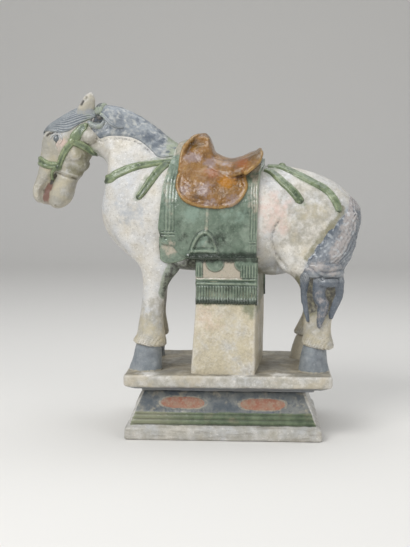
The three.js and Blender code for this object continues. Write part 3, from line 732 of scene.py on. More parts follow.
# Each strap is its path, its widths from end to end, its lift and groove, and which of its ends are free.
harness = {
    "breast": [(-56, 325), (-68, 323.8), (-80, 322.2), (-93.7, 320.3), (-108.9, 317.6), (-122.1, 313), (-134, 307.5),
               (-141, 303)],
    "breastWidths": (7, 9, 12, 12.5, 11.5, 12.5, 12, 9, 7), "front": (-147, 0, 299.5),
    "straps": {
        "hanging": ([(-73, 321), (-81.5, 313.4), (-90.8, 301), (-99, 289), (-106.6, 279.3)],
                    (11, 11.5, 9), 2.4, 0.2, (False, True)),
        "rumpShort": ([(43, 313.5), (50.2, 310.7), (62.9, 299.3), (73.2, 290.1), (81.3, 279.8), (85, 274.8)],
                      (10, 12, 12), 2.6, 0.12, (False, True)),
        "crupper": ([(46, 318), (56, 317.5), (65.6, 315.6), (82.7, 307.3), (100.1, 298.1), (113.6, 290.1), (122, 280),
                     (126.5, 271), (128, 264)], (11.5, 14.5, 14, 10.5), 2.4, 0.15, (False, True)),
        "cheek": ([(-171.5, 367), (-178.3, 360.6), (-185.5, 351.7), (-188.5, 347.3)], (13, 15), 2.2, 0.0),
        "cheekLow": ([(-188, 348), (-194.7, 339.9), (-199.9, 332), (-204, 323), (-206.5, 316.5)], (9.5, 8), 2.2, 0.3),
        "throat": ([(-189.5, 348.5), (-183, 345.9), (-176.5, 342.8), (-168.6, 337.9), (-160.6, 332)],
                   (9.5, 10.5, 10), 2.2, 0.2),
        "nose": ([(-204.5, 318.8), (-210, 319.4), (-216.6, 319.4), (-224.7, 322.3), (-230, 325)],
                 (9.5, 10.5, 12.5, 14.5), 3.0, 0.3, (True, False)),
        "bit": ([(-207.5, 317), (-213.5, 313.5), (-215.8, 308.5), (-214.8, 301)], (5, 4), 2.2, 0),
    },
    "noseFront": (-238, 0, 325),
    "knobs": [(-188.8, 347.8, 4.4, 3.6), (-206.5, 317.5, 4.4, 3.6), (-172.3, 366.6, 3.2, 2.8)],
    "rumpKnob": ((63, 0, 318), (5, 9, 4.8)),
    "ends": ((-107.5, 280.4, 5), (85, 274.8, 5), (-146, 300, 5), (-160.6, 332, 5), (-206.5, 317, 5), (127, 262, 5)),
}


def makeHarness():
    bm = bmesh.new()
    across = {side: sideGuide(skin, harness["breast"], side) for side in (-1, 1)}
    band(bm, skin, across[-1] + [Vector(harness["front"])] + across[1][::-1], harness["breastWidths"], 2.3, 0.2,
         (False, False))
    for side in (-1, 1):
        for key, (path, *rest) in harness["straps"].items():
            front = [Vector(harness["noseFront"])] if key == "nose" else []
            band(bm, skin, sideGuide(skin, path, side) + front, *rest)
        for x, z, radius, high in harness["knobs"]:
            ball(bm, onSkin(skin, x, z, side), (radius, high, radius))
    ball(bm, *harness["rumpKnob"])
    roughen(bm, (0.4, 8, 8.8), (0.2, 3, 1.2))
    dropLoose(bm)
    return bm


def tintHarness(bm):
    x, _, z = spotsOf(bm).T
    return {"dark": 0.75 * marks(x, z, *harness["ends"]),
            "blue": strongest(marks(x, z, (-175, 363, 9), (126, 264, 8, 0.8)), 0.7 * ramp(x, -92, -72) * (x < 0))}


straps = makeHarness()
finishPiece("harness", straps, strapGlaze, tints=tintHarness(straps))

# The mane: rows run from the poll to the saddle, each from its lower edge over the crest.
mane = {
    "lower": [(-164, 361), (-158.5, 354), (-153.7, 349.4), (-147.7, 351.1), (-139.3, 352.6), (-128.5, 352.5),
              (-117.8, 351.3), (-108.2, 347.8), (-101.1, 343.1), (-92.8, 336), (-85.7, 328.9), (-78, 327),
              (-68, 328.5), (-58, 330)],
    "crest": [(-160, 387), (-157, 389.5), (-153, 390.8), (-147, 391), (-139, 389.5), (-128, 386.5), (-117, 382),
              (-107, 376.5), (-98, 371), (-90, 365), (-82, 358.5), (-74, 352), (-66, 346), (-60, 343)],
    "rows": 150, "columns": 140, "lift": 1.7,
}


def blanketOfHair(form, groove, surface):
    rows = form["rows"]
    low = smoothLine(form["lower"], rows + 1)
    top = smoothLine(form["crest"], rows + 1)
    root = np.array([abs(onSkin(surface, x, z, -1).y) for x, z in low])
    bm = bmesh.new()

    def place(u, v):
        row = np.round(u * rows).astype(int)
        t = v * 2 - 1
        climb = (1 - np.abs(t)) * math.pi / 2
        flat = low[row] + (top[row] - low[row]) * np.sin(climb)[:, None]
        side = root[row] * np.cos(climb) * np.sign(t)
        ground, lean = landed(surface, np.stack([flat[:, 0], side, flat[:, 1]], axis=1))
        edge = np.minimum(ramp(np.abs(t), 1, 0.93), ramp(np.minimum(u, 1 - u), -0.004, 0.02))
        height = form["lift"] * np.sqrt(edge) - 1.2 * (1 - edge) + groove(u, t, ground) * edge
        return ground + lean * height[:, None]

    gridForm(bm, rows, form["columns"], place)
    relax(bm, bm.verts, factor=0.4)
    bmesh.ops.recalc_face_normals(bm, faces=bm.faces)
    return bm


def maneGroove(u, t, ground):
    drift = np.abs(t) * 13 + 2.2 * np.sin(u * 7) + u * 9 + 2.5 * lumps(ground, 16, 0.4)
    comb = 0.5 + 0.5 * np.sin(drift * 2 * math.pi / 1.5)
    worn = np.clip(0.6 + 1.6 * lumps(ground, 12, 5.3), 0, 1)
    curl = np.hypot((ground[:, 0] + 158) / 1.8, ground[:, 2] - 375)
    return (-0.22 * comb * worn * ramp(np.abs(t), 0.1, 0.5) + 0.5 * lumps(ground, 9, 2.2) + 0.25 * lumps(ground, 3, 1.2)
            - 3.0 * hill(curl, 4))


def tintMane(bm):
    spots = spotsOf(bm)
    x, _, z = spots.T
    return {
        "cream": np.clip(0.9 * lumps(spots, 4.5, 8.0) + 0.22 + 0.4 * ramp(x, -88, -74), 0, 1),
        # Black under the curl is painted shadow.
        "green": 0.8 * ramp(x, -82, -66), "black": curlShadow(x, z, 7, 3.5),
        "dark": strongest(marks(x, z, (-96, 352, 8), (-82, 347, 6, 0.8), (-154, 356, 7, 0.5)),
                          np.clip(1.3 * lumps(spots, 7, 3.3), 0, 0.7)),
    }


hair = blanketOfHair(mane, maneGroove, skin)
finishPiece("mane", hair, maneGlaze, tints=tintMane(hair))

forelock = {
    "lower": [(-229, 357.5), (-222, 360.5), (-216, 359.5), (-209.8, 358.6), (-199.7, 357.5), (-190.6, 360),
              (-184, 364.5), (-177.3, 368.9), (-171.3, 371.8), (-159.5, 377)],
    "crest": [(-229.5, 359.5), (-225, 364), (-219, 368.5), (-211.5, 373.3), (-203, 378), (-195, 382.2), (-187, 386),
              (-179, 389), (-171, 390.5), (-158.5, 389.5)],
    "rows": 110, "columns": 150, "lift": 1.7, "lines": 10, "sweep": 7,
}


def forelockGroove(u, t, ground):
    wave = np.abs(t) * forelock["lines"] - forelock["sweep"] * (1 - (1 - u) ** 2) + 0.3 * lumps(ground, 14, 6.6)
    return 0.85 * np.abs(np.sin(wave * math.pi)) ** 0.8 - 0.6


def tintForelock(bm):
    x = spotsOf(bm)[:, 0]
    return {"cream": 0.4 * ramp(x, -216, -228), "green": 0.5 * ramp(x, -182, -168)}


fringe = blanketOfHair(forelock, forelockGroove, skin)
finishPiece("forelock", fringe, maneGlaze, tints=tintForelock(fringe))
print("hair laid")

# Ears, the curls behind them, and the eyes
headTrim = {
    "ear": [(-187, 380, -162.4, 379, 5, 10), (-183.5, 387, -162.2, 386.5, 6, 10.5),
            (-180, 393, -161.8, 393, 5.8, 11.2), (-177, 398, -161.5, 398, 4.9, 11.8),
            (-173.2, 402.8, -163, 402.8, 3.4, 12.2), (-168.4, 405.9, -165.4, 405.9, 1.3, 12.6)],
    "earLeads": [-5] * 6,
    "lobe": [(-168.5, 371.5), (-164.5, 367.5), (-159.5, 365), (-154, 364.8), (-150, 367.5), (-148.6, 371.5)],
    "lock": [(-155, 379.5), (-151.7, 378.5), (-146.8, 373.1), (-139.9, 366.2), (-132.9, 363.3), (-126, 363)],
    "poll": [(-156.8, 379), (-156.4, 386), (-155.8, 391)], "pollTop": (-155, 0, 397),
    "eye": (-207.3, 351), "eyeRadii": (4.2, 3.4, 4.3),
    "lid": [(-215.5, 350.5), (-213, 355.2), (-207, 357), (-201.4, 353.6), (-200.8, 348.5), (-204.5, 345)],
}


def makeEars():
    bm = bmesh.new()
    loft(bm, headTrim["ear"], 40, 36, side=-1)
    loft(bm, led(headTrim["ear"], headTrim["earLeads"]), 40, 36)
    spots = spotsOf(bm)
    cup = pathGap(spots, [(-178.5, 391), (-175.5, 396), (-172, 400)], 12)
    outer = np.abs(spots[:, 1]) > np.interp(spots[:, 2], (380, 406), (10, 12.6))
    raiseBy(bm, np.where(outer, -2.0 * hill(cup, 1.8), 0) + 0.2 * lumps(spots, 6, 3))
    return bm


def tintEars(bm):
    spots = spotsOf(bm)
    x, y, z = spots.T
    cup = pathGap(spots, [(-178, 392), (-175.6, 396)], 8)
    # Dark in the ear's cup is painted shade in its hollow.
    return {"dark": ramp(cup, 2.4, 0.8) * (y < -11.5), "warm": np.full(len(x), 0.3),
            "soilAndShade": 0.75 + 0.25 * ramp(z, 400, 384), "greenBleed": 0.35 * ramp(z, 388, 380),
            "blueBleed": 0.7 * ramp(z, 391, 382)}


def makeCurls():
    bm = bmesh.new()
    for side in (-1, 1):
        band(bm, skin, sideGuide(skin, headTrim["lobe"], side), (5, 8.4, 9, 7.5, 4), 4.8, 0.0, across=16, step=1.0,
             square=2.4)
        band(bm, skin, sideGuide(skin, headTrim["lock"], side), (6.5, 5.6, 3), 4.0, 0.1, across=12, step=1.0)
    near, far = (sideGuide(skin, headTrim["poll"], side) for side in (-1, 1))
    band(bm, skin, near + [Vector(headTrim["pollTop"])] + far[::-1], (11.5, 13.5, 13.5, 13.5, 11.5), 4.6, 0.0,
         across=24, step=0.9, strands=0.5)
    dropLoose(bm)
    return bm


def tintCurls(bm):
    x, _, z = spotsOf(bm).T
    # Painted shadow: black in the hollow under the curl and along its outer rim.
    rim = ramp(np.hypot(x + 158, z - 374), 14.5, 16) * ramp(x, -150, -156)
    return {"cream": 0.45 * ramp(z, 373, 367) * ramp(x, -145, -150),
            "green": strongest(0.4 * ramp(x, -142, -150), ramp(z, 377, 381)),
            "black": 0.9 * curlShadow(x, z, 5.5, 3) + 0.85 * rim}


def makeLids():
    bm = bmesh.new()
    for side in (-1, 1):
        band(bm, skin, sideGuide(skin, headTrim["lid"], side), (1.8, 2.6, 2.8, 2.6, 2.0, 1.4), 1.15, 0, across=10,
             step=0.8, sink=0.6)
    dropLoose(bm)
    return bm


def tintLids(bm):
    z = spotsOf(bm)[:, 2]
    even = {key: np.full(len(z), amount) for key, amount in (("soilAndShade", 1.0), ("warm", 0.6), ("dark", 0.3))}
    return {"pink": 0.5 * ramp(z, 353, 348), "blueBleed": ramp(z, 348, 352), **even}


def makeEyes():
    bm = bmesh.new()
    for side in (-1, 1):
        spot = onSkin(skin, *headTrim["eye"], side)
        ball(bm, (spot.x, spot.y + side * 0.2, spot.z), headTrim["eyeRadii"], 4)
    return bm


ears = makeEars()
finishPiece("ears", ears, skinClay, tints=tintEars(ears))
curls = makeCurls()
finishPiece("curls", curls, maneGlaze, tints=tintCurls(curls))
lids = makeLids()
finishPiece("eyelids", lids, skinClay, tints=tintLids(lids))
finishPiece("eyes", makeEyes(), eyeGlaze)

# The tail, looped over itself above the near hock
tail = {
    "near": [(143, 288), (140, 278), (137, 266), (125, 253.5), (114.5, 242.8), (106.5, 234), (98.4, 222.4), (90, 209.4),
             (86, 201)],
    "far": [(149, 5, 288), (153, 4, 277), (154, -3, 264), (154, -11, 251), (153, -19, 239), (150, -27, 226),
            (145, -34, 214), (140, -39, 204), (137, -42, 196)],
    "wraps": [(197.6, 8.4, 26.3, 108.6), (183.4, 5.4, 15.0, 114.0)],
    "locks": [
        ([(91, 196), (88.6, 185), (88.6, 170), (90.4, 157), (92.4, 146), (94.4, 136)], (12, 13, 10.5, 8, 6, 2.5)),
        ([(109, 194), (107.5, 184), (105.2, 173), (106.5, 163.5), (110.8, 156), (109.2, 145), (107, 135), (106.2, 129)],
         (20, 20, 17.5, 16.5, 15.5, 14, 10, 4)),
        ([(129, 192), (130, 180), (129.5, 169), (126, 159), (121.5, 149), (118.5, 140)], (17, 17, 15, 13, 10, 4))],
    "creases": [[(91, 203), (97, 200), (103, 193.5), (108, 189)], [(106, 197), (116, 196), (131, 198.5)]],
    "pinkRun": [(143, 270), (141, 255), (136, 240), (129, 226), (123, 214)],
    "rows": 130, "columns": 84, "lift": 2.9, "lockLift": 4.6, "wrapHalf": 16.5, "wrapY": -51,
}


def makeTail():
    bm = bmesh.new()
    swelling(bm, skin, [list(p) for p in sideGuide(skin, tail["near"], -1)], tail["far"], tail["lift"],
             tail["rows"], tail["columns"])
    for path, widths in tail["locks"]:
        band(bm, skin, sideGuide(skin, path, -1), widths, tail["lockLift"], 0, across=28, step=0.9, strands=0.2,
             square=2.2)
    dropLoose(bm)
    # Each wrap round the locks is middle height, half height, half length and x of the middle.
    for z, high, reach, x in tail["wraps"]:
        level = [(x - reach + inset, z + rise * high, x + reach - inset, z + rise * high,
                  tail["wrapHalf"] - inset, tail["wrapY"])
                 for rise, inset in ((1, 4.2), (0.8, 1.6), (0.4, 0.2), (0, 0), (-0.4, 0.2), (-0.8, 1.6), (-1, 4.2))]
        loft(bm, level, 26, 120)
    spots = spotsOf(bm)
    x, y, z = spots.T
    upper = ramp(z, 190, 214)
    height = 0.6 * lumps(spots, 9, 6.6) + 0.3 * lumps(spots, 4.2, 2.6) * upper + 0.2 * lumps(spots, 2.8, 2.6)
    onWrap = ramp(z, 175, 178) * ramp(y, -48, -54)
    for path in tail["creases"]:
        height -= 1.6 * hill(pathGap(spots, path), 1.8) * onWrap
    raiseBy(bm, height)
    return bm


def tintTail(bm):
    spots = spotsOf(bm)
    x, _, z = spots.T
    # The cream marks on the two wraps are partly painted highlight on the rolls.
    cream = strongest(0.8 * ramp(pathGap(spots, tail["pinkRun"]), 12, 4), 0.9 * ramp(z, 258, 274),
                      marks(x, z, (103, 202, 7, 0.9, 1.8), (120, 197, 6, 0.9, 1.8)),
                      0.35 * ramp(z, 182, 168) * ramp(x, 96, 104) * ramp(x, 121, 116))
    return {
        "cream": np.clip(cream + 0.3 * lumps(spots, 7, 4.0), 0, 1),
        "dark": 0.8 * strongest(ramp(x - 0.8 * (z - 240), 128, 116) * ramp(z, 204, 212), ramp(z, 190, 180)),
        "pale": 0.8 * np.clip(2.2 * lumps(spots, 4, 9.0) - 0.1, 0, 1) * ramp(z, 200, 212),
    }


tailForm = makeTail()
finishPiece("tail", tailForm, tailGlaze, tints=tintTail(tailForm))

# Hooves, under the tufted hem of each leg
hooves = {
    "fore": [(-107.5, 114, -81, 110, 13, -42), (-111, 103, -80, 101, 14.3, -42), (-114.3, 90, -79.3, 90, 15.5, -42),
             (-118.2, 79, -79, 79, 17.3, -42), (-118.8, 76, -79, 76, 17.5, -42)],
    "hind": [(90, 110, 116, 107, 13, -42), (87, 101, 116, 100, 14.3, -42), (85, 90, 117, 90, 15.5, -42),
             (83.5, 79, 119, 79, 17.3, -42), (83.5, 76, 119, 76, 17.5, -42)],
    "foreLeads": [-5] * 5, "hindLeads": [-3, -4.5, -6.3, -7.8, -8],
}


def makeHooves():
    bm = bmesh.new()
    for key in ("fore", "hind"):
        loft(bm, hooves[key], 40, 70)
        loft(bm, led(hooves[key], hooves[key + "Leads"]), 40, 70, side=-1)
    roughen(bm, (0.4, 9, 7.1), (0.2, 3, 1.1))
    return bm


def tintHooves(bm):
    x, y, z = spotsOf(bm).T
    return {"cream": strongest(0.7 * ramp(z, 79.5, 77.2), (x > 0) * (y > 0))}


hoofForm = makeHooves()
finishPiece("hooves", hoofForm, hoofGlaze, tints=tintHooves(hoofForm))
print("tail and hooves done")

# The saddle cloth: rows run from its front edge to its back edge, columns from hem over the back to hem.
# The hanging part takes its share of the way up; the inner side is drawn in by shares of y and of z above and below.
cloth = {
    "half": 62.3, "top": 328, "foot": 2, "lift": 3.4, "hanging": 0.36, "drawnIn": (0.62, 0.8, 0.92),
    "collar": [(-63, 1.6), (-57.5, 7.2), (-51.6, 12.3), (-42, 13), (-30, 3.4)],
    "front": [(205, -76), (230, -77.5), (246, -81.1), (267, -79.3), (294.7, -76.2), (313, -71.5), (345.6, -62.3),
              (356, -57.5)],
    "back": [(209, 32.4), (250, 33.4), (278.7, 34.2), (300, 34.8), (312.9, 36), (318.5, 41), (330, 43), (360, 43)],
    "hem": [(-84, 232), (-78, 229.5), (-72, 228.5), (-66, 226), (-61, 221), (-55, 214.8), (-46, 211.6), (-20, 209.6),
            (12, 209.8), (34, 211.8)],
    "rows": 140, "outer": 330, "inner": 30, "start": -84, "length": 120,
    # Grooved borders: path, height span, places of the grooves across it and their depth
    "borders": [([(-62.5, 322), (-66.2, 296), (-67.6, 268), (-68, 243)], (242, 318), (-5.6, -1.5, 2.1, 5.6), 0.6),
                ([(31, 300), (30.8, 262), (30.4, 231)], (232, 302), (-5, -2, 1, 4), 1.1)],
    "bars": [((-77.5, -61.5), (240.6, 237.1)), ((24, 34.5), (229.4, 226.4))],
    "stirrup": [(-42.4, 219.5), (-41.2, 224), (-38.4, 231), (-33.6, 237.8), (-27.2, 241.2), (-21.2, 238.2), (-17, 231),
                (-14.9, 224), (-14.5, 219.5)],
    "stirrupHole": [(-41, 223), (-18, 223), (-21.5, 233.5), (-26.6, 239), (-35, 233.5)],
    "tread": [(-44, 218), (-38, 219.3), (-28, 219.8), (-20, 219.4), (-13.4, 217.8)],
    "pad": [(-46, 213.5), (-30, 212), (-12, 213)],
    "leather": [(-25.5, 241), (-24.5, 252), (-24.2, 271)],
}


def hangWidth(z, half, foot):
    return half - foot * np.clip((figure["shoulder"] - z) / 82, 0, 1)


def makeCloth():
    form = cloth
    axis = figure["shoulder"]
    front, back, hem = (np.array(form[k], float) for k in ("front", "back", "hem"))
    bm = bmesh.new()
    total = form["outer"] + form["inner"] + 1
    reachCache = {}

    def skinReach(x, angle):
        key = (round(x, 1), round(angle, 3))
        if key not in reachCache:
            way = Vector((0, math.cos(angle), math.sin(angle)))
            hit = skin.ray_cast(Vector((x, 0, axis)) + way * figure["outside"], -way)[0]
            reachCache[key] = (hit - Vector((x, 0, axis))).length if hit else 0
        return reachCache[key]

    def outerSpot(x, along):
        side = -1 if along < 0.5 else 1
        half = min(along, 1 - along) * 2
        low = np.interp(x, hem[:, 0], hem[:, 1])
        split = form["hanging"]
        if half < split:
            z = low + (axis - low) * half / split
            y = hangWidth(z, form["half"], form["foot"])
            hit = skin.ray_cast(Vector((x, -figure["outside"], z)), Vector((0, 1, 0)))[0]
            y = max(y, abs(hit.y) + 2.6 if hit else 0)
            return side * y, z
        angle = (half - split) / (1 - split) * math.pi / 2
        plain = 1 / math.sqrt((math.cos(angle) / form["half"]) ** 2 + (math.sin(angle) / (form["top"] - axis)) ** 2)
        rise = (np.interp(x, *zip(*form["collar"])) - form["lift"]) * ramp(angle, 0.85, 1.35)
        reach = max(plain, skinReach(x, angle) + form["lift"] + rise)
        return side * reach * math.cos(angle), axis + reach * math.sin(angle)

    def place(u, v):
        spots = np.zeros((len(u), 3))
        inY, inAbove, inBelow = form["drawnIn"]
        for k in range(len(u)):
            column = round(v[k] * total) % total
            within = column <= form["outer"]
            along = column / form["outer"] if within else 1 - (column - form["outer"] - 1) / (form["inner"] - 1)
            z = outerSpot(form["start"] + form["length"] * u[k], along)[1]
            for _ in range(2):
                x = np.interp(z, front[:, 0], front[:, 1]) * (1 - u[k]) + np.interp(z, back[:, 0], back[:, 1]) * u[k]
                y, z = outerSpot(x, along)
            if not within:
                y, z = y * inY, axis + (z - axis) * (inAbove if z > axis else inBelow)
            spots[k] = x, y, z
        return spots

    gridForm(bm, form["rows"], total, place)
    closeTubes(bm)
    return bm


def clothRelief(bm):
    form = cloth
    spots = spotsOf(bm)
    x, y, z = spots.T
    bm.normal_update()
    outward = np.array([v.normal[1] for v in bm.verts]) * np.sign(y) > 0.2
    height = np.zeros(len(spots))
    soft = 0.75 + 0.5 * lumps(spots, 15, 7.2)
    sway = 0.7 * lumps(spots, 18, 1.4)
    for path, (bottom, top), grooves, depth in form["borders"]:
        line = smoothLine(path, 20)
        centre = np.interp(z, line[::-1, 1], line[::-1, 0]) + sway
        inSpan = ramp(z, bottom - 1, bottom + 2) * ramp(z, top + 2, top - 12) * soft
        for offset in grooves:
            height -= depth * hill(x - centre - offset, 1.0) * inSpan
        for offset in (np.array(grooves[:-1]) + np.array(grooves[1:])) / 2:
            height += 0.35 * hill(x - centre - offset, 1.3) * inSpan
    for (start, end), levels in form["bars"]:
        inBar = ramp(x, start - 1, start + 1) * ramp(x, end + 1, end - 1)
        for level in levels:
            height += inBar * (0.6 * hill(z - level, 1.0) - 0.6 * hill(z - level - 1.8, 0.8))
    tassel = ramp(x, 21, 22.6) * ramp(z, 225.5, 224)
    height += tassel * (0.9 * np.abs(np.sin((x - 21) * math.pi / 2.2)) - 0.5)
    height += 1.8 * hill(np.hypot((x + 73) / 1.2, z - 228), 4.2) - 0.9 * hill(np.hypot(x + 73, z - 234.5), 1.8)
    stirrup, tread, pad, leather = (pathGap(spots, form[key], count) for key, count in (
        ("stirrup", 40), ("tread", 12), ("pad", 12), ("leather", 8)))
    height += 1.7 * ramp(stirrup, 2.2, 0.7) - 0.5 * hill(stirrup - 3.0, 0.9)
    height += 2.2 * ramp(tread, 2.6, 1.0) - 1.2 * hill(z - 222.8, 0.9) * ramp(np.abs(x + 29), 15, 12.5)
    height += 1.2 * ramp(pad, 3.6, 1.2)
    height += 1.0 * ramp(leather, 1.9, 0.8)
    height -= 1.3 * hill(np.hypot((x + 26.8) / 1.5, z - 237.6), 1.3)
    height -= 0.7 * insideOutline(spots[:, [0, 2]], np.array(form["stirrupHole"]))
    height += 0.9 * hill(z - 211.5, 2.6) * ramp(x, -52, -44)
    wobble = 0.6 * lumps(spots, 20, 3.3) + 0.26 * lumps(spots, 6, 9.1)
    raiseBy(bm, np.where(outward | (z > 300), height, 0) + wobble)


def tintCloth(bm):
    x, _, z = spotsOf(bm).T
    return {
        "cream": strongest(marks(x, z, (-66, 229, 5, 0.6), (38, 304, 12, 0.5), (-28, 229, 5, 0.45, 1.3)),
                           0.7 * ramp(z, 318, 340) * ramp(x, -48, -56),
                           0.5 * hill(x + 71 + 0.14 * (z - 290), 6) * ramp(z, 250, 274),
                           0.6 * hill(x - 30, 8) * ramp(z, 236, 285), 0.4 * hill(x + 25, 3) * ramp(z, 238, 246)),
        # The light patches are partly paler glaze, partly painted highlight.
        "light": strongest(marks(x, z, (-40, 262, 10, 0.8, 1.4), (6, 262, 12, 0.5, 1.4), (-29, 229, 8, 0.6)),
                           0.6 * hill(x + 69, 7) * ramp(z, 250, 275)),
        # Painted shade: dark at the front corner, around the stirrup and along the hem.
        "dark": strongest(marks(x, z, (-80, 238, 7, 0.7), (-12, 232, 10, 0.55, 1.5), (-52, 236, 9, 0.5)),
                          0.95 * ramp(z, 222, 213.5) * ramp(x, -54, -42)),
    }


clothForm = makeCloth()
clothRelief(clothForm)
clothSkin = BVHTree.FromBMesh(clothForm)
finishPiece("saddleCloth", clothForm, clothGlaze, tints=tintCloth(clothForm))

# The belly band below the cloth's cut corner
girth = {
    "outline": [(-79.5, 238), (-80, 216), (-79, 208.5), (-72, 204.5), (-60, 205.5), (-50, 209.5), (-45, 216),
                (-45, 236), (-62, 243)],
    "half": 59.5, "depth": 22,
}


def outlinedPad(bm, outline, face, depth, rings=26, around=120, bulge=0.0, edge=2.2):
    rim = closedLine(outline, around)
    middle = rim.mean(axis=0)

    def place(u, v):
        turn = np.round(v * around).astype(int) % around
        front = np.clip(u / 0.8, 0, 1)
        flat = middle + (rim[turn] - middle) * front[:, None]
        gap = (1 - front) * np.linalg.norm(rim[turn] - middle, axis=1)
        side = face(flat[:, 0], flat[:, 1]) + bulge * (1 - front ** 2) - edge * (1 - np.clip(gap / edge, 0, 1)) ** 2
        back = np.clip((u - 0.8) / 0.2, 0, 1)
        return np.stack([flat[:, 0], -(side - back * depth), flat[:, 1]], axis=1)

    mirroredGrid(bm, rings, around, place)
    closeTubes(bm)


def girthFace(_, z):
    return girth["half"] - 0.004 * (z - 226) ** 2


def tintGirth(bm):
    x, _, z = spotsOf(bm).T
    # Dark at the front end is painted shade beside the foreleg.
    return {"cream": mark(x, z, -68, 222, 9, 0.8), "dark": 0.8 * ramp(x, -76, -84)}


girthForm = bmesh.new()
outlinedPad(girthForm, girth["outline"], girthFace, girth["depth"])
girthTints = tintGirth(girthForm)
roughen(girthForm, (0.5, 9, 2.7))
finishPiece("girth", girthForm, clothGlaze, tints=girthTints)
print("cloths done")

# The saddle: two flaps, a seat, a hooded pommel and a flared cantle
saddle = {
    "flap": [(-55, 333), (-55.5, 318), (-60.5, 305), (-60.5, 291), (-52.5, 278.5), (-38, 271.5), (-22, 268.8),
             (-6, 268.8), (8, 273), (18, 282.5), (22.5, 294), (20, 307), (22, 313), (13, 318), (-8, 320), (-20, 327),
             (-28, 338), (-40, 345), (-51, 342)],
    "lift": 3.6,
    "seat": [(-57, 332, 35, 318), (-51, 345.5, 39, 312), (-43, 353.5, 41, 308), (-34, 356.8, 42, 306),
             (-26, 355.5, 42, 305), (-21, 347, 43, 304), (-15.5, 334.5, 46, 305), (0, 328.5, 52, 306),
             (14, 330.5, 57, 309.5), (26, 335.5, 60, 315), (33.5, 337.5, 58, 322.5), (38, 334, 53, 327)],
    "lip": [(-56.5, 40, 312), (-56.5, 39, 322), (-54.8, 36, 333), (-50.5, 31, 343), (-44, 23, 350.5), (-36, 12, 354.5),
            (-29, 0, 355.5)],
    "cantleLip": [(18, 60, 309.5), (24, 60.5, 312.5), (31, 59, 318.5), (36.5, 53, 326), (38, 40, 333.5),
                  (36.5, 20, 337), (36, 0, 337.5)],
    "hood": [(-49, 334), (-45, 341), (-38, 345.5), (-30, 346.5)],
    "hoodRim": [(-52, 332), (-48, 341.5), (-40, 349.5), (-31, 352), (-25, 350)],
    "fold": [(-24, 330), (-18, 320), (-6, 315), (8, 317), (18, 323)],
    "strokes": [[(-55, 288), (-44, 282), (-34, 281)], [(-40, 277), (-26, 279), (-14, 274)],
                [(-8, 275), (4, 279), (12, 286)], [(-50, 297), (-40, 293), (-33, 297)],
                [(0, 290), (8, 296), (15, 293)]],
    "rows": 60, "voxel": 1.15, "smoothing": 5,
}


# How far out a form lies when it rests on the cloth at each place in the side view.
def onCloth(lift):
    def face(x, z):
        start = -figure["outside"]
        hits = [clothSkin.ray_cast(Vector((a, start, b)), Vector((0, 1, 0)))[0] for a, b in zip(x, z)]
        return np.array([-hit.y if hit else 6.0 for hit in hits]) + lift

    return face


def ropeForm(bm, path, radius, sides=14, step=1.2):
    line = evenLine(path, step)
    rows = len(line) - 1
    along = np.gradient(line, axis=0)
    along /= np.linalg.norm(along, axis=1)[:, None]
    first = np.cross(along, (1, 0, 0.2))
    first /= np.linalg.norm(first, axis=1)[:, None]
    second = np.cross(along, first)

    def place(u, v):
        row = np.round(u * rows).astype(int)
        turn = v * 2 * math.pi
        return line[row] + radius * (first[row] * np.cos(turn)[:, None] + second[row] * np.sin(turn)[:, None])

    gridForm(bm, rows, sides, place)
    closeTubes(bm)


def makeSaddle():
    form = saddle
    bm = bmesh.new()
    outlinedPad(bm, form["flap"], onCloth(form["lift"]), 10, rings=50, around=160, bulge=0.8)
    rows = form["rows"]
    line = smoothLine(form["seat"], rows + 1)

    def place(u, v):
        x, top, half, foot = line[np.round(u * rows).astype(int)].T
        turn = v * 2 * math.pi
        up = np.sin(turn)
        y = np.cos(turn) * half
        z = foot + np.where(up > 0, np.abs(up) ** 0.9 * (top - foot), up * 7)
        return np.stack([x, y, z], axis=1)

    gridForm(bm, rows, 60, place)
    closeTubes(bm)
    # The hood's lip follows the cloth where it comes down low.
    lip = [(x, max(y, float(onCloth(0.6)([x], [z])[0])) if z < 336 else y, z) for x, y, z in form["lip"]]
    for half, radius in ((lip, 2.7), (form["cantleLip"], 2.6)):
        ropeForm(bm, half + [(x, -y, z) for x, y, z in half[-2::-1]], radius)
    return fused(bm, form["voxel"], form["smoothing"])


def saddleRelief(bm):
    spots = spotsOf(bm)
    _, y, z = spots.T
    out = np.abs(y)
    rim = closedLine(saddle["flap"], 160)
    gap = lineDistance(spots[:, [0, 2]], np.vstack([rim, rim[:1]]))[0]
    low = ramp(z, 316, 306) * ramp(out, 36, 46)
    height = low * (0.65 * hill(gap - 1.8, 1.8) - 0.55 * hill(gap - 5.2, 1.5) - 0.3 * hill(gap - 9.5, 1.2))
    hood, hoodRim = pathGap(spots, saddle["hood"]), pathGap(spots, saddle["hoodRim"])
    height += (0.8 * hill(hoodRim, 1.6) - 2.2 * hill(hood, 3.2)) * ramp(out, 5, 14)
    height -= 0.7 * hill(pathGap(spots, saddle["fold"], 16), 2.6) * ramp(out, 24, 34)
    for path in saddle["strokes"]:
        height -= 0.7 * hill(pathGap(spots, path, 12), 1.1) * low
    height += 0.7 * lumps(spots, 13, 4.4) + 0.28 * lumps(spots, 5, 2.1)
    raiseBy(bm, height)


def tintSaddle(bm):
    x, _, z = spotsOf(bm).T
    return {
        "violet": 0.9 * marks(x, z, (-42, 328, 8, 1, 1.3), (-22, 321, 8), (-28, 290, 10), (-50, 290, 8, 0.8),
                              (-2, 320, 5, 0.7, 1.6), (6, 277, 9), (-22, 276, 8, 0.8)),
        "yellow": mark(x, z, -1, 299, 8.5, 1, 1.3),
        "orange": 0.85 * marks(x, z, (-18, 309, 7, 1, 1.5), (16, 321, 9)),
        "amber": marks(x, z, (-38, 343, 6, 1, 1.4), (33, 331, 9, 0.95, 1.3)),
    }


saddleForm = makeSaddle()
saddleRelief(saddleForm)
finishPiece("saddle", saddleForm, saddleGlaze, tints=tintSaddle(saddleForm))
print("saddle done")

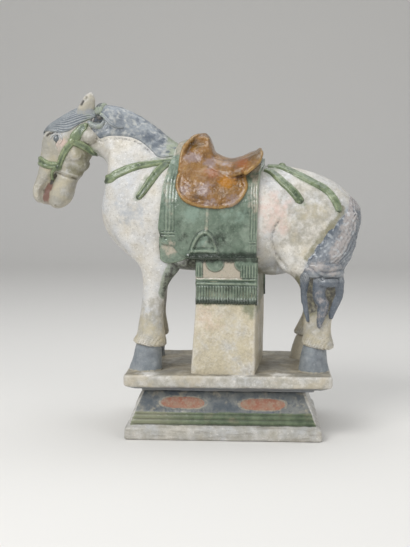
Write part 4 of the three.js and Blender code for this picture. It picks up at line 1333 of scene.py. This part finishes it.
# The column under the belly, turned a little, with an apron hanging on each face
column = {
    "turn": math.radians(-5), "pivot": 2,
    "stations": [(77, 0.2, -8, 37.4, 63), (112, 1.2, -6, 36.4, 61.5), (160, 2.6, -2, 35.4, 59.5),
                 (214, 2.4, 0, 35.2, 57.5)],
    "rows": 66, "around": 200, "corner": 3.0,
}


def turnColumn(bm):
    spin = Matrix.Rotation(column["turn"], 4, "Z")
    pivot = Matrix.Translation((column["pivot"], 0, 0))
    bmesh.ops.transform(bm, matrix=pivot @ spin @ pivot.inverted(), verts=bm.verts)


# Each side and each corner takes the same share of every ring, so that rings of any size line up.
def roundedRing(v, halfX, halfY, radius):
    share = 0.92
    quarters = v % 1 * 4
    corner = np.minimum(quarters.astype(int), 3)
    t = quarters - corner
    nx, ny = np.cos(corner * math.pi / 2), np.sin(corner * math.pi / 2)
    slide = np.clip(t / share, 0, 1) * 2 - 1
    angle = (corner + np.clip((t - share) / (1 - share), 0, 1)) * math.pi / 2
    alongX, alongY = halfX - radius, halfY - radius
    x = np.where(t > share, (nx - ny) * alongX + radius * np.cos(angle), nx * halfX - ny * slide * alongX)
    y = np.where(t > share, (ny + nx) * alongY + radius * np.sin(angle), ny * halfY + nx * slide * alongY)
    return x, y


def makeColumn():
    bm = bmesh.new()
    rows = column["rows"]
    line = smoothLine(column["stations"], rows + 1)

    def place(u, v):
        z, midX, midY, halfX, halfY = line[np.round(u * rows).astype(int)].T
        x, y = roundedRing(v, halfX, halfY, np.full(len(u), column["corner"]))
        return np.stack([x + midX, y + midY, z - 1], axis=1)

    gridForm(bm, rows, column["around"], place)
    closeTubes(bm)
    roughen(bm, (0.55, 26, 6.1), (0.2, 5, 1.9))
    return bm


def tintColumn(bm):
    spots = spotsOf(bm)
    x, y, z = spots.T
    drip = hill(np.hypot((x - 32.5) / 1.2, (z - 153) / 1.3), 8) * (y < 0)
    return {
        "warm": np.clip(0.74 + 0.3 * lumps(spots, 30, 3.0), 0, 1), "pink": mark(x, z, -20, 140, 22, 0.6),
        "soilAndShade": np.clip(0.4 + 0.3 * lumps(spots, 12, 9.0), 0, 1),
        "worn": np.clip(0.3 + 0.35 * lumps(spots, 16, 5.0), 0, 1),
        "greenBleed": strongest(drip, 0.9 * ramp(z, 154, 159)),
    }


shaft = makeColumn()
shaftTints = tintColumn(shaft)
turnColumn(shaft)
finishPiece("column", shaft, columnClay, tints=shaftTints)

# The apron: edges of the sheet and of its plain panel, the scallops over it, the ledges and the fringe
apron = {
    "left": -33.2, "right": 39.6, "foot": 157, "head": 212, "face": 60.5, "across": 110, "down": 84,
    "panel": (-25.0, 20.5), "scallops": [(-9.9, 10.2), (22.5, 9.6)], "scallopTop": 206,
    "ledges": [(186.5, 1.0), (181.5, 1.2)], "strands": 22, "fringe": (158, 178.5), "thickness": 0.14,
}


def makeAprons():
    bm = bmesh.new()
    form = apron

    def place(u, v):
        x = form["left"] + (form["right"] - form["left"]) * u
        z = form["foot"] + (form["head"] - form["foot"]) * v
        edge = np.minimum(ramp(np.minimum(u, 1 - u) * 73, -0.3, 2.2), ramp(z - form["foot"], -0.3, 2.2))
        left, right = form["panel"]
        border = np.maximum(ramp(x, left + 0.8, left - 0.8), ramp(x, right - 0.8, right + 0.8))
        scallop = strongest(*(ramp(np.hypot(x - centre, z - form["scallopTop"]), radius + 0.6, radius - 0.6)
                              for centre, radius in form["scallops"]))
        aboveLedge = ramp(z, 188, 189.5)
        height = 1.5 * np.maximum(border, scallop) * aboveLedge
        height += 0.5 * np.sin(x * 2 * math.pi / 3.3) * border * aboveLedge * ramp(z, 206, 200)
        for level, rise in form["ledges"]:
            height += rise * hill(z - level, 1.3)
        height -= 0.9 * hill(z - 184, 0.9)
        low, high = form["fringe"]
        comb = np.abs(np.sin((u * form["strands"]) * math.pi))
        inFringe = ramp(z, high + 0.6, high - 0.8)
        height += inFringe * (1.9 * comb ** 0.7 - 0.2) * (0.8 + 0.2 * np.sin(u * 40))
        height += 2.2 * inFringe * ramp(z, low + 10, low + 2)
        return np.stack([x, -(form["face"] + height - 3 * (1 - edge)), z], axis=1)

    mirroredGrid(bm, form["across"], form["down"], place)
    rims = [e for e in bm.edges if e.is_boundary]
    for vert in bmesh.ops.extrude_edge_only(bm, edges=rims)["geom"]:
        if isinstance(vert, bmesh.types.BMVert):
            vert.co.y *= 1 - form["thickness"]
    closeTubes(bm)
    roughen(bm, (0.3, 8, 5.5))
    return bm


def tintAprons(bm):
    x, _, z = spotsOf(bm).T
    left, right = apron["panel"]
    panel = ramp(x, left, left + 1.4) * ramp(x, right, right - 1.4) * ramp(z, 187, 188.5)
    for centre, radius in apron["scallops"]:
        panel *= ramp(np.hypot(x - centre, z - apron["scallopTop"]), radius - 0.6, radius + 1)
    # Painted shadow: dark at the fringe's foot and under the cloth's edge above; the fringe a little darker.
    return {"cream": strongest(panel, 0.75 * ramp(np.abs(z - 188), 2.2, 0.8) * ramp(x, 26, 20)),
            "dark": strongest(ramp(z, 167, 160), 0.8 * ramp(z, 203, 209), 0.36 * ramp(z, 182, 178))}


aprons = makeAprons()
apronTints = tintAprons(aprons)
turnColumn(aprons)
finishPiece("apron", aprons, clothGlaze, tints=apronTints)
print("column done")


# Slabs and mouldings: a profile of inset and height carried round a rectangle, closed across the top and bottom

def moulded(form, lift, seed):
    line = np.array(profileLine(form["profile"], form["step"]), float)
    rows = len(line) - 1
    bm = bmesh.new()

    def place(u, v):
        inset, z = line[np.round(u * rows).astype(int)].T
        corner = np.clip(form["corner"] - inset * 0.12, 0.8, None)
        x, y = roundedRing(v, form["length"] / 2 - inset, form["depth"] / 2 - inset, corner)
        return np.stack([x, y + form["midY"], z], axis=1)

    gridForm(bm, rows, form["around"], place)
    closeTubes(bm)
    roughen(bm, (lift, 22, seed), (0.3 * lift, 5, seed + 3))
    # The bottom face stays flat on the ground.
    moveTo(bm, np.maximum(spotsOf(bm), [-1000, -1000, 0]))
    return bm


def profileLine(corners, step):
    run = []
    for a, b in zip(corners, corners[1:]):
        count = max(int(math.dist(a, b) / step), 1)
        run += [(a[0] + (b[0] - a[0]) * k / count, a[1] + (b[1] - a[1]) * k / count) for k in range(count)]
    return run + [corners[-1]]


slab = {
    "length": 242, "depth": 167, "midY": 2.5, "corner": 5, "around": 300, "step": 2.4, "wornAt": (62, -92, 16),
    "profile": [(78, 54.8), (40, 54.8), (20.5, 54.8), (19.8, 55.6), (19, 57.5), (10, 59.5), (3.6, 62.2), (1.6, 63),
                (0.4, 64.4), (0, 66), (0, 73), (0.3, 74.8), (1.2, 76.2), (2.8, 77), (20, 77), (50, 77), (78, 77)],
}


def tintSlab(bm):
    spots = spotsOf(bm)
    x, y, z = spots.T
    top = ramp(z, 76, 76.8)
    return {
        "warm": np.clip(0.5 + 0.8 * lumps(spots, 26, 7.7), 0, 1), "soilAndShade": np.clip(0.5 + 0.5 * top, 0, 1),
        "dark": 0.62 * top, "greenBleed": ramp(z, 63.4, 61.5),
        "worn": 0.9 * marks(x, y, *((spot, -70, 13) for spot in slab["wornAt"])) * ramp(z, 74, 76.8),
    }


slabForm = moulded(slab, 0.55, 2.0)
finishPiece("slab", slabForm, slabClay, tints=tintSlab(slabForm))

stand = {
    "length": 230, "depth": 160, "midY": 0, "corner": 4, "around": 300, "step": 1.5,
    "profile": [(76, 0.2), (40, 0.2), (3, 0.2), (1, 0.5), (0.2, 1.5), (0, 3), (0.3, 11), (0.8, 13.4), (2.2, 14.8),
                (5, 17), (6.2, 18), (5.8, 19.2), (5.7, 21.2), (6.6, 22.6), (7.8, 23.6), (7.5, 24.8), (7.6, 26.8),
                (8.6, 28), (9.4, 29), (9.2, 30.2), (9.6, 31.4), (10.8, 32.6), (13.5, 42), (17, 50), (18.2, 53),
                (19, 54.2), (21, 54.5), (40, 54.5), (76, 54.5)],
    # The painted ovals in metres: x and z of the middle, half length and half height
    "ovals": [(-0.0465, 0.0420, 0.0262, 0.0064), (0.0465, 0.0407, 0.0265, 0.0064)],
}
standForm = moulded(stand, 0.45, 4.0)


def standMaterial():
    material, tree, spot, shader = startMaterial("standPaint")
    parts = tree.nodes.new("ShaderNodeSeparateXYZ")
    feed(tree, parts.inputs[0], spot)
    x, _, z = parts.outputs
    wobble = part(tree, calc(tree, "SUBTRACT", clouds(tree, spot, 12, 0.1, 0.9, lobe=1), 0.5), 0.0022)
    high = calc(tree, "ADD", z, wobble)
    hollow = tint(tree, "hollow")
    cream = clouded(tree, spot, slipColour(tree, spot), slip["soilAndShade"], 0.75, 9, 0.2, 0.8, 6, lobe=51)
    # Green on the mouldings, paler to the left; paler on the ridges as painted highlight and darker in the grooves as
    # painted shade
    green = mixed(tree, clouds(tree, spot, 14, 0.3, 0.7, detail=6, lobe=2), paint(54, 72, 48), paint(104, 118, 90))
    green = clouded(tree, spot, green, paint(128, 120, 98), 0.6, 11, 0.5, 0.76, 6, lobe=61)
    leftward = calc(tree, "ADD", x, part(tree, wobble, 12.0))
    green = mixed(tree, spread(tree, leftward, -0.02, -0.09, 0.0, 0.6), green, paint(142, 140, 116))
    green = mixed(tree, spread(tree, hollow, -0.05, -0.6, 0.0, 0.75), green, paint(146, 154, 122))
    green = mixed(tree, spread(tree, hollow, 0.04, 0.7, 0.0, 0.85), green, paint(46, 62, 40))
    # Slate above them, with the orange ovals
    slate = mixed(tree, clouds(tree, spot, 16, 0.3, 0.7, detail=6, lobe=4), paint(80, 88, 94), paint(126, 128, 124))
    slate = clouded(tree, spot, slate, paint(168, 160, 140), 0.8, 8, 0.5, 0.74, 6, lobe=6)
    slate = clouded(tree, spot, slate, paint(62, 74, 84), 0.7, 6, 0.5, 0.7, lobe=26)
    painted = mixed(tree, spread(tree, high, 0.0305, 0.0325), green, slate)
    for middleX, middleZ, halfX, halfZ in stand["ovals"]:
        aside, above = (calc(tree, "DIVIDE", calc(tree, "ABSOLUTE", calc(tree, "SUBTRACT", place, middle)), half)
                        for place, middle, half in ((x, middleX, halfX), (z, middleZ, halfZ)))
        oval = calc(tree, "ADD", calc(tree, "POWER", aside, 3.2), calc(tree, "POWER", above, 2.0))
        oval = calc(tree, "ADD", oval, part(tree, wobble, 160.0))
        ring = part(tree, spread(tree, oval, 1.5, 1.25), clouds(tree, spot, 5, 0.3, 0.6, lobe=13))
        painted = mixed(tree, part(tree, ring, 0.65), painted, paint(172, 160, 140))
        inside = clouds(tree, spot, 7, 0.3, 0.7, detail=6, lobe=15)
        inside = mixed(tree, inside, paint(150, 92, 70), paint(152, 128, 108))
        inside = clouded(tree, spot, inside, paint(172, 142, 120), 0.6, 2.5, 0.5, 0.7, lobe=35)
        painted = mixed(tree, spread(tree, oval, 1.05, 0.9), painted, inside)
    # The paint stops at slanting lines near both ends and above the foot.
    edge = calc(tree, "ADD", calc(tree, "ADD", calc(tree, "ABSOLUTE", x), part(tree, z, 0.42)), wobble)
    inPaint = part(tree, spread(tree, edge, 0.1165, 0.1150), spread(tree, high, 0.0166, 0.0178))
    streaks = tree.nodes.new("ShaderNodeMapping")
    streaks.inputs["Scale"].default_value = (0.12, 0.12, 1)
    feed(tree, streaks.inputs["Vector"], spot)
    lines = part(tree, clouds(tree, streaks.outputs[0], 2.6, 0.5, 0.75, lobe=41),
                 calc(tree, "SUBTRACT", 0.5, part(tree, inPaint, 0.4)))
    colour = mixed(tree, lines, mixed(tree, inPaint, cream, painted), slip["darkBrown"])
    # Painted shade: the whole stand darkens in its hollows.
    colour = mixed(tree, part(tree, spread(tree, hollow, 0.04, 0.4), 0.75), colour, paint(60, 60, 46))
    dress(tree, spot, shader, colour, (0.28, 0.6), 9, 9, 0.25, 0.2)
    grain = calc(tree, "ADD", clouds(tree, spot, 2, 0.2, 0.8), clouds(tree, spot, 6, 0.3, 0.7, lobe=2))
    addBump(tree, shader, grain, 0.2)
    return material


finishPiece("standBody", standForm, standMaterial(), replaced="stand", shift=0)
print("stand done")


# Floor, light and camera

studio = {
    "floorColour": paint(226, 224, 220), "reach": 4.0, "bend": 0.9, "bendStart": 2.2,
    "camera": (0.0365, -1.109, 0.2958), "yaw": 3.15, "pitch": 5.56, "focalPixels": 909, "imageHeight": 547,
    "filmWidth": 36, "target": (0, 0, 0.2),
    # Each lamp's place, size, power and colour
    "lamps": {"key": ((-0.9, -1.3, 1.5), (1.1, 0.9), 26, (1, 1, 1)),
              "fill": ((1.4, -1.2, 0.7), (1.2, 1.2), 7, (1, 0.98, 0.95)),
              "top": ((0.2, 0.3, 1.7), (1.2, 1.2), 10, (0.96, 0.98, 1))},
    "skyColour": (0.95, 0.97, 1, 1), "skyPower": 0.45,
}


# A sheet that runs away from the camera, bends up and ends as the back wall.
def makeFloor():
    bm = bmesh.new()
    reach, bend, start = (studio[key] for key in ("reach", "bend", "bendStart"))

    def place(u, v):
        run = v * (reach * 2 + 2.4) - reach * 0.75
        over = np.clip((run - start) / bend, 0, math.pi / 2)
        y = np.where(run < start, run, start + bend * np.sin(over))
        z = bend * (1 - np.cos(over)) + np.maximum(run - start - bend * math.pi / 2, 0)
        return np.stack([(u - 0.5) * reach * 2.4, y, z], axis=1)

    gridForm(bm, 4, 90, place)
    bmesh.ops.recalc_face_normals(bm, faces=bm.faces)
    mesh = bpy.data.meshes.new("floor")
    bm.to_mesh(mesh)
    bm.free()
    mesh.shade_smooth()
    material, tree, _, shader = startMaterial("floorPaper")
    feed(tree, shader.inputs["Base Color"], studio["floorColour"])
    shader.inputs["Roughness"].default_value = 0.8
    mesh.materials.append(material)
    floor = bpy.data.objects.new("floor", mesh)
    bpy.context.scene.collection.objects.link(floor)


def softLight(name, spot, size, power, colour):
    lamp = bpy.data.lights.new(name, "AREA")
    lamp.shape = "RECTANGLE"
    lamp.size, lamp.size_y = size
    lamp.energy = power
    lamp.color = colour
    holder = bpy.data.objects.new(name, lamp)
    holder.location = spot
    holder.rotation_euler = (Vector(studio["target"]) - Vector(spot)).to_track_quat("-Z", "Y").to_euler()
    bpy.context.scene.collection.objects.link(holder)


def makeCamera():
    lens = bpy.data.cameras.new("camera")
    lens.sensor_fit = "AUTO"
    lens.sensor_width = studio["filmWidth"]
    lens.lens = studio["focalPixels"] / studio["imageHeight"] * studio["filmWidth"]
    camera = bpy.data.objects.new("camera", lens)
    camera.location = studio["camera"]
    camera.rotation_euler = (math.radians(90 - studio["pitch"]), 0, math.radians(studio["yaw"]))
    bpy.context.scene.collection.objects.link(camera)
    bpy.context.scene.camera = camera


def makeSky():
    world = bpy.data.worlds.new("world")
    world.use_nodes = True
    background = world.node_tree.nodes["Background"]
    background.inputs[0].default_value = studio["skyColour"]
    background.inputs[1].default_value = studio["skyPower"]
    bpy.context.scene.world = world


makeFloor()
for lampName, settings in studio["lamps"].items():
    softLight(lampName, *settings)
makeSky()
bpy.context.scene.view_settings.view_transform = "Standard"
makeCamera()
print("studio ready")
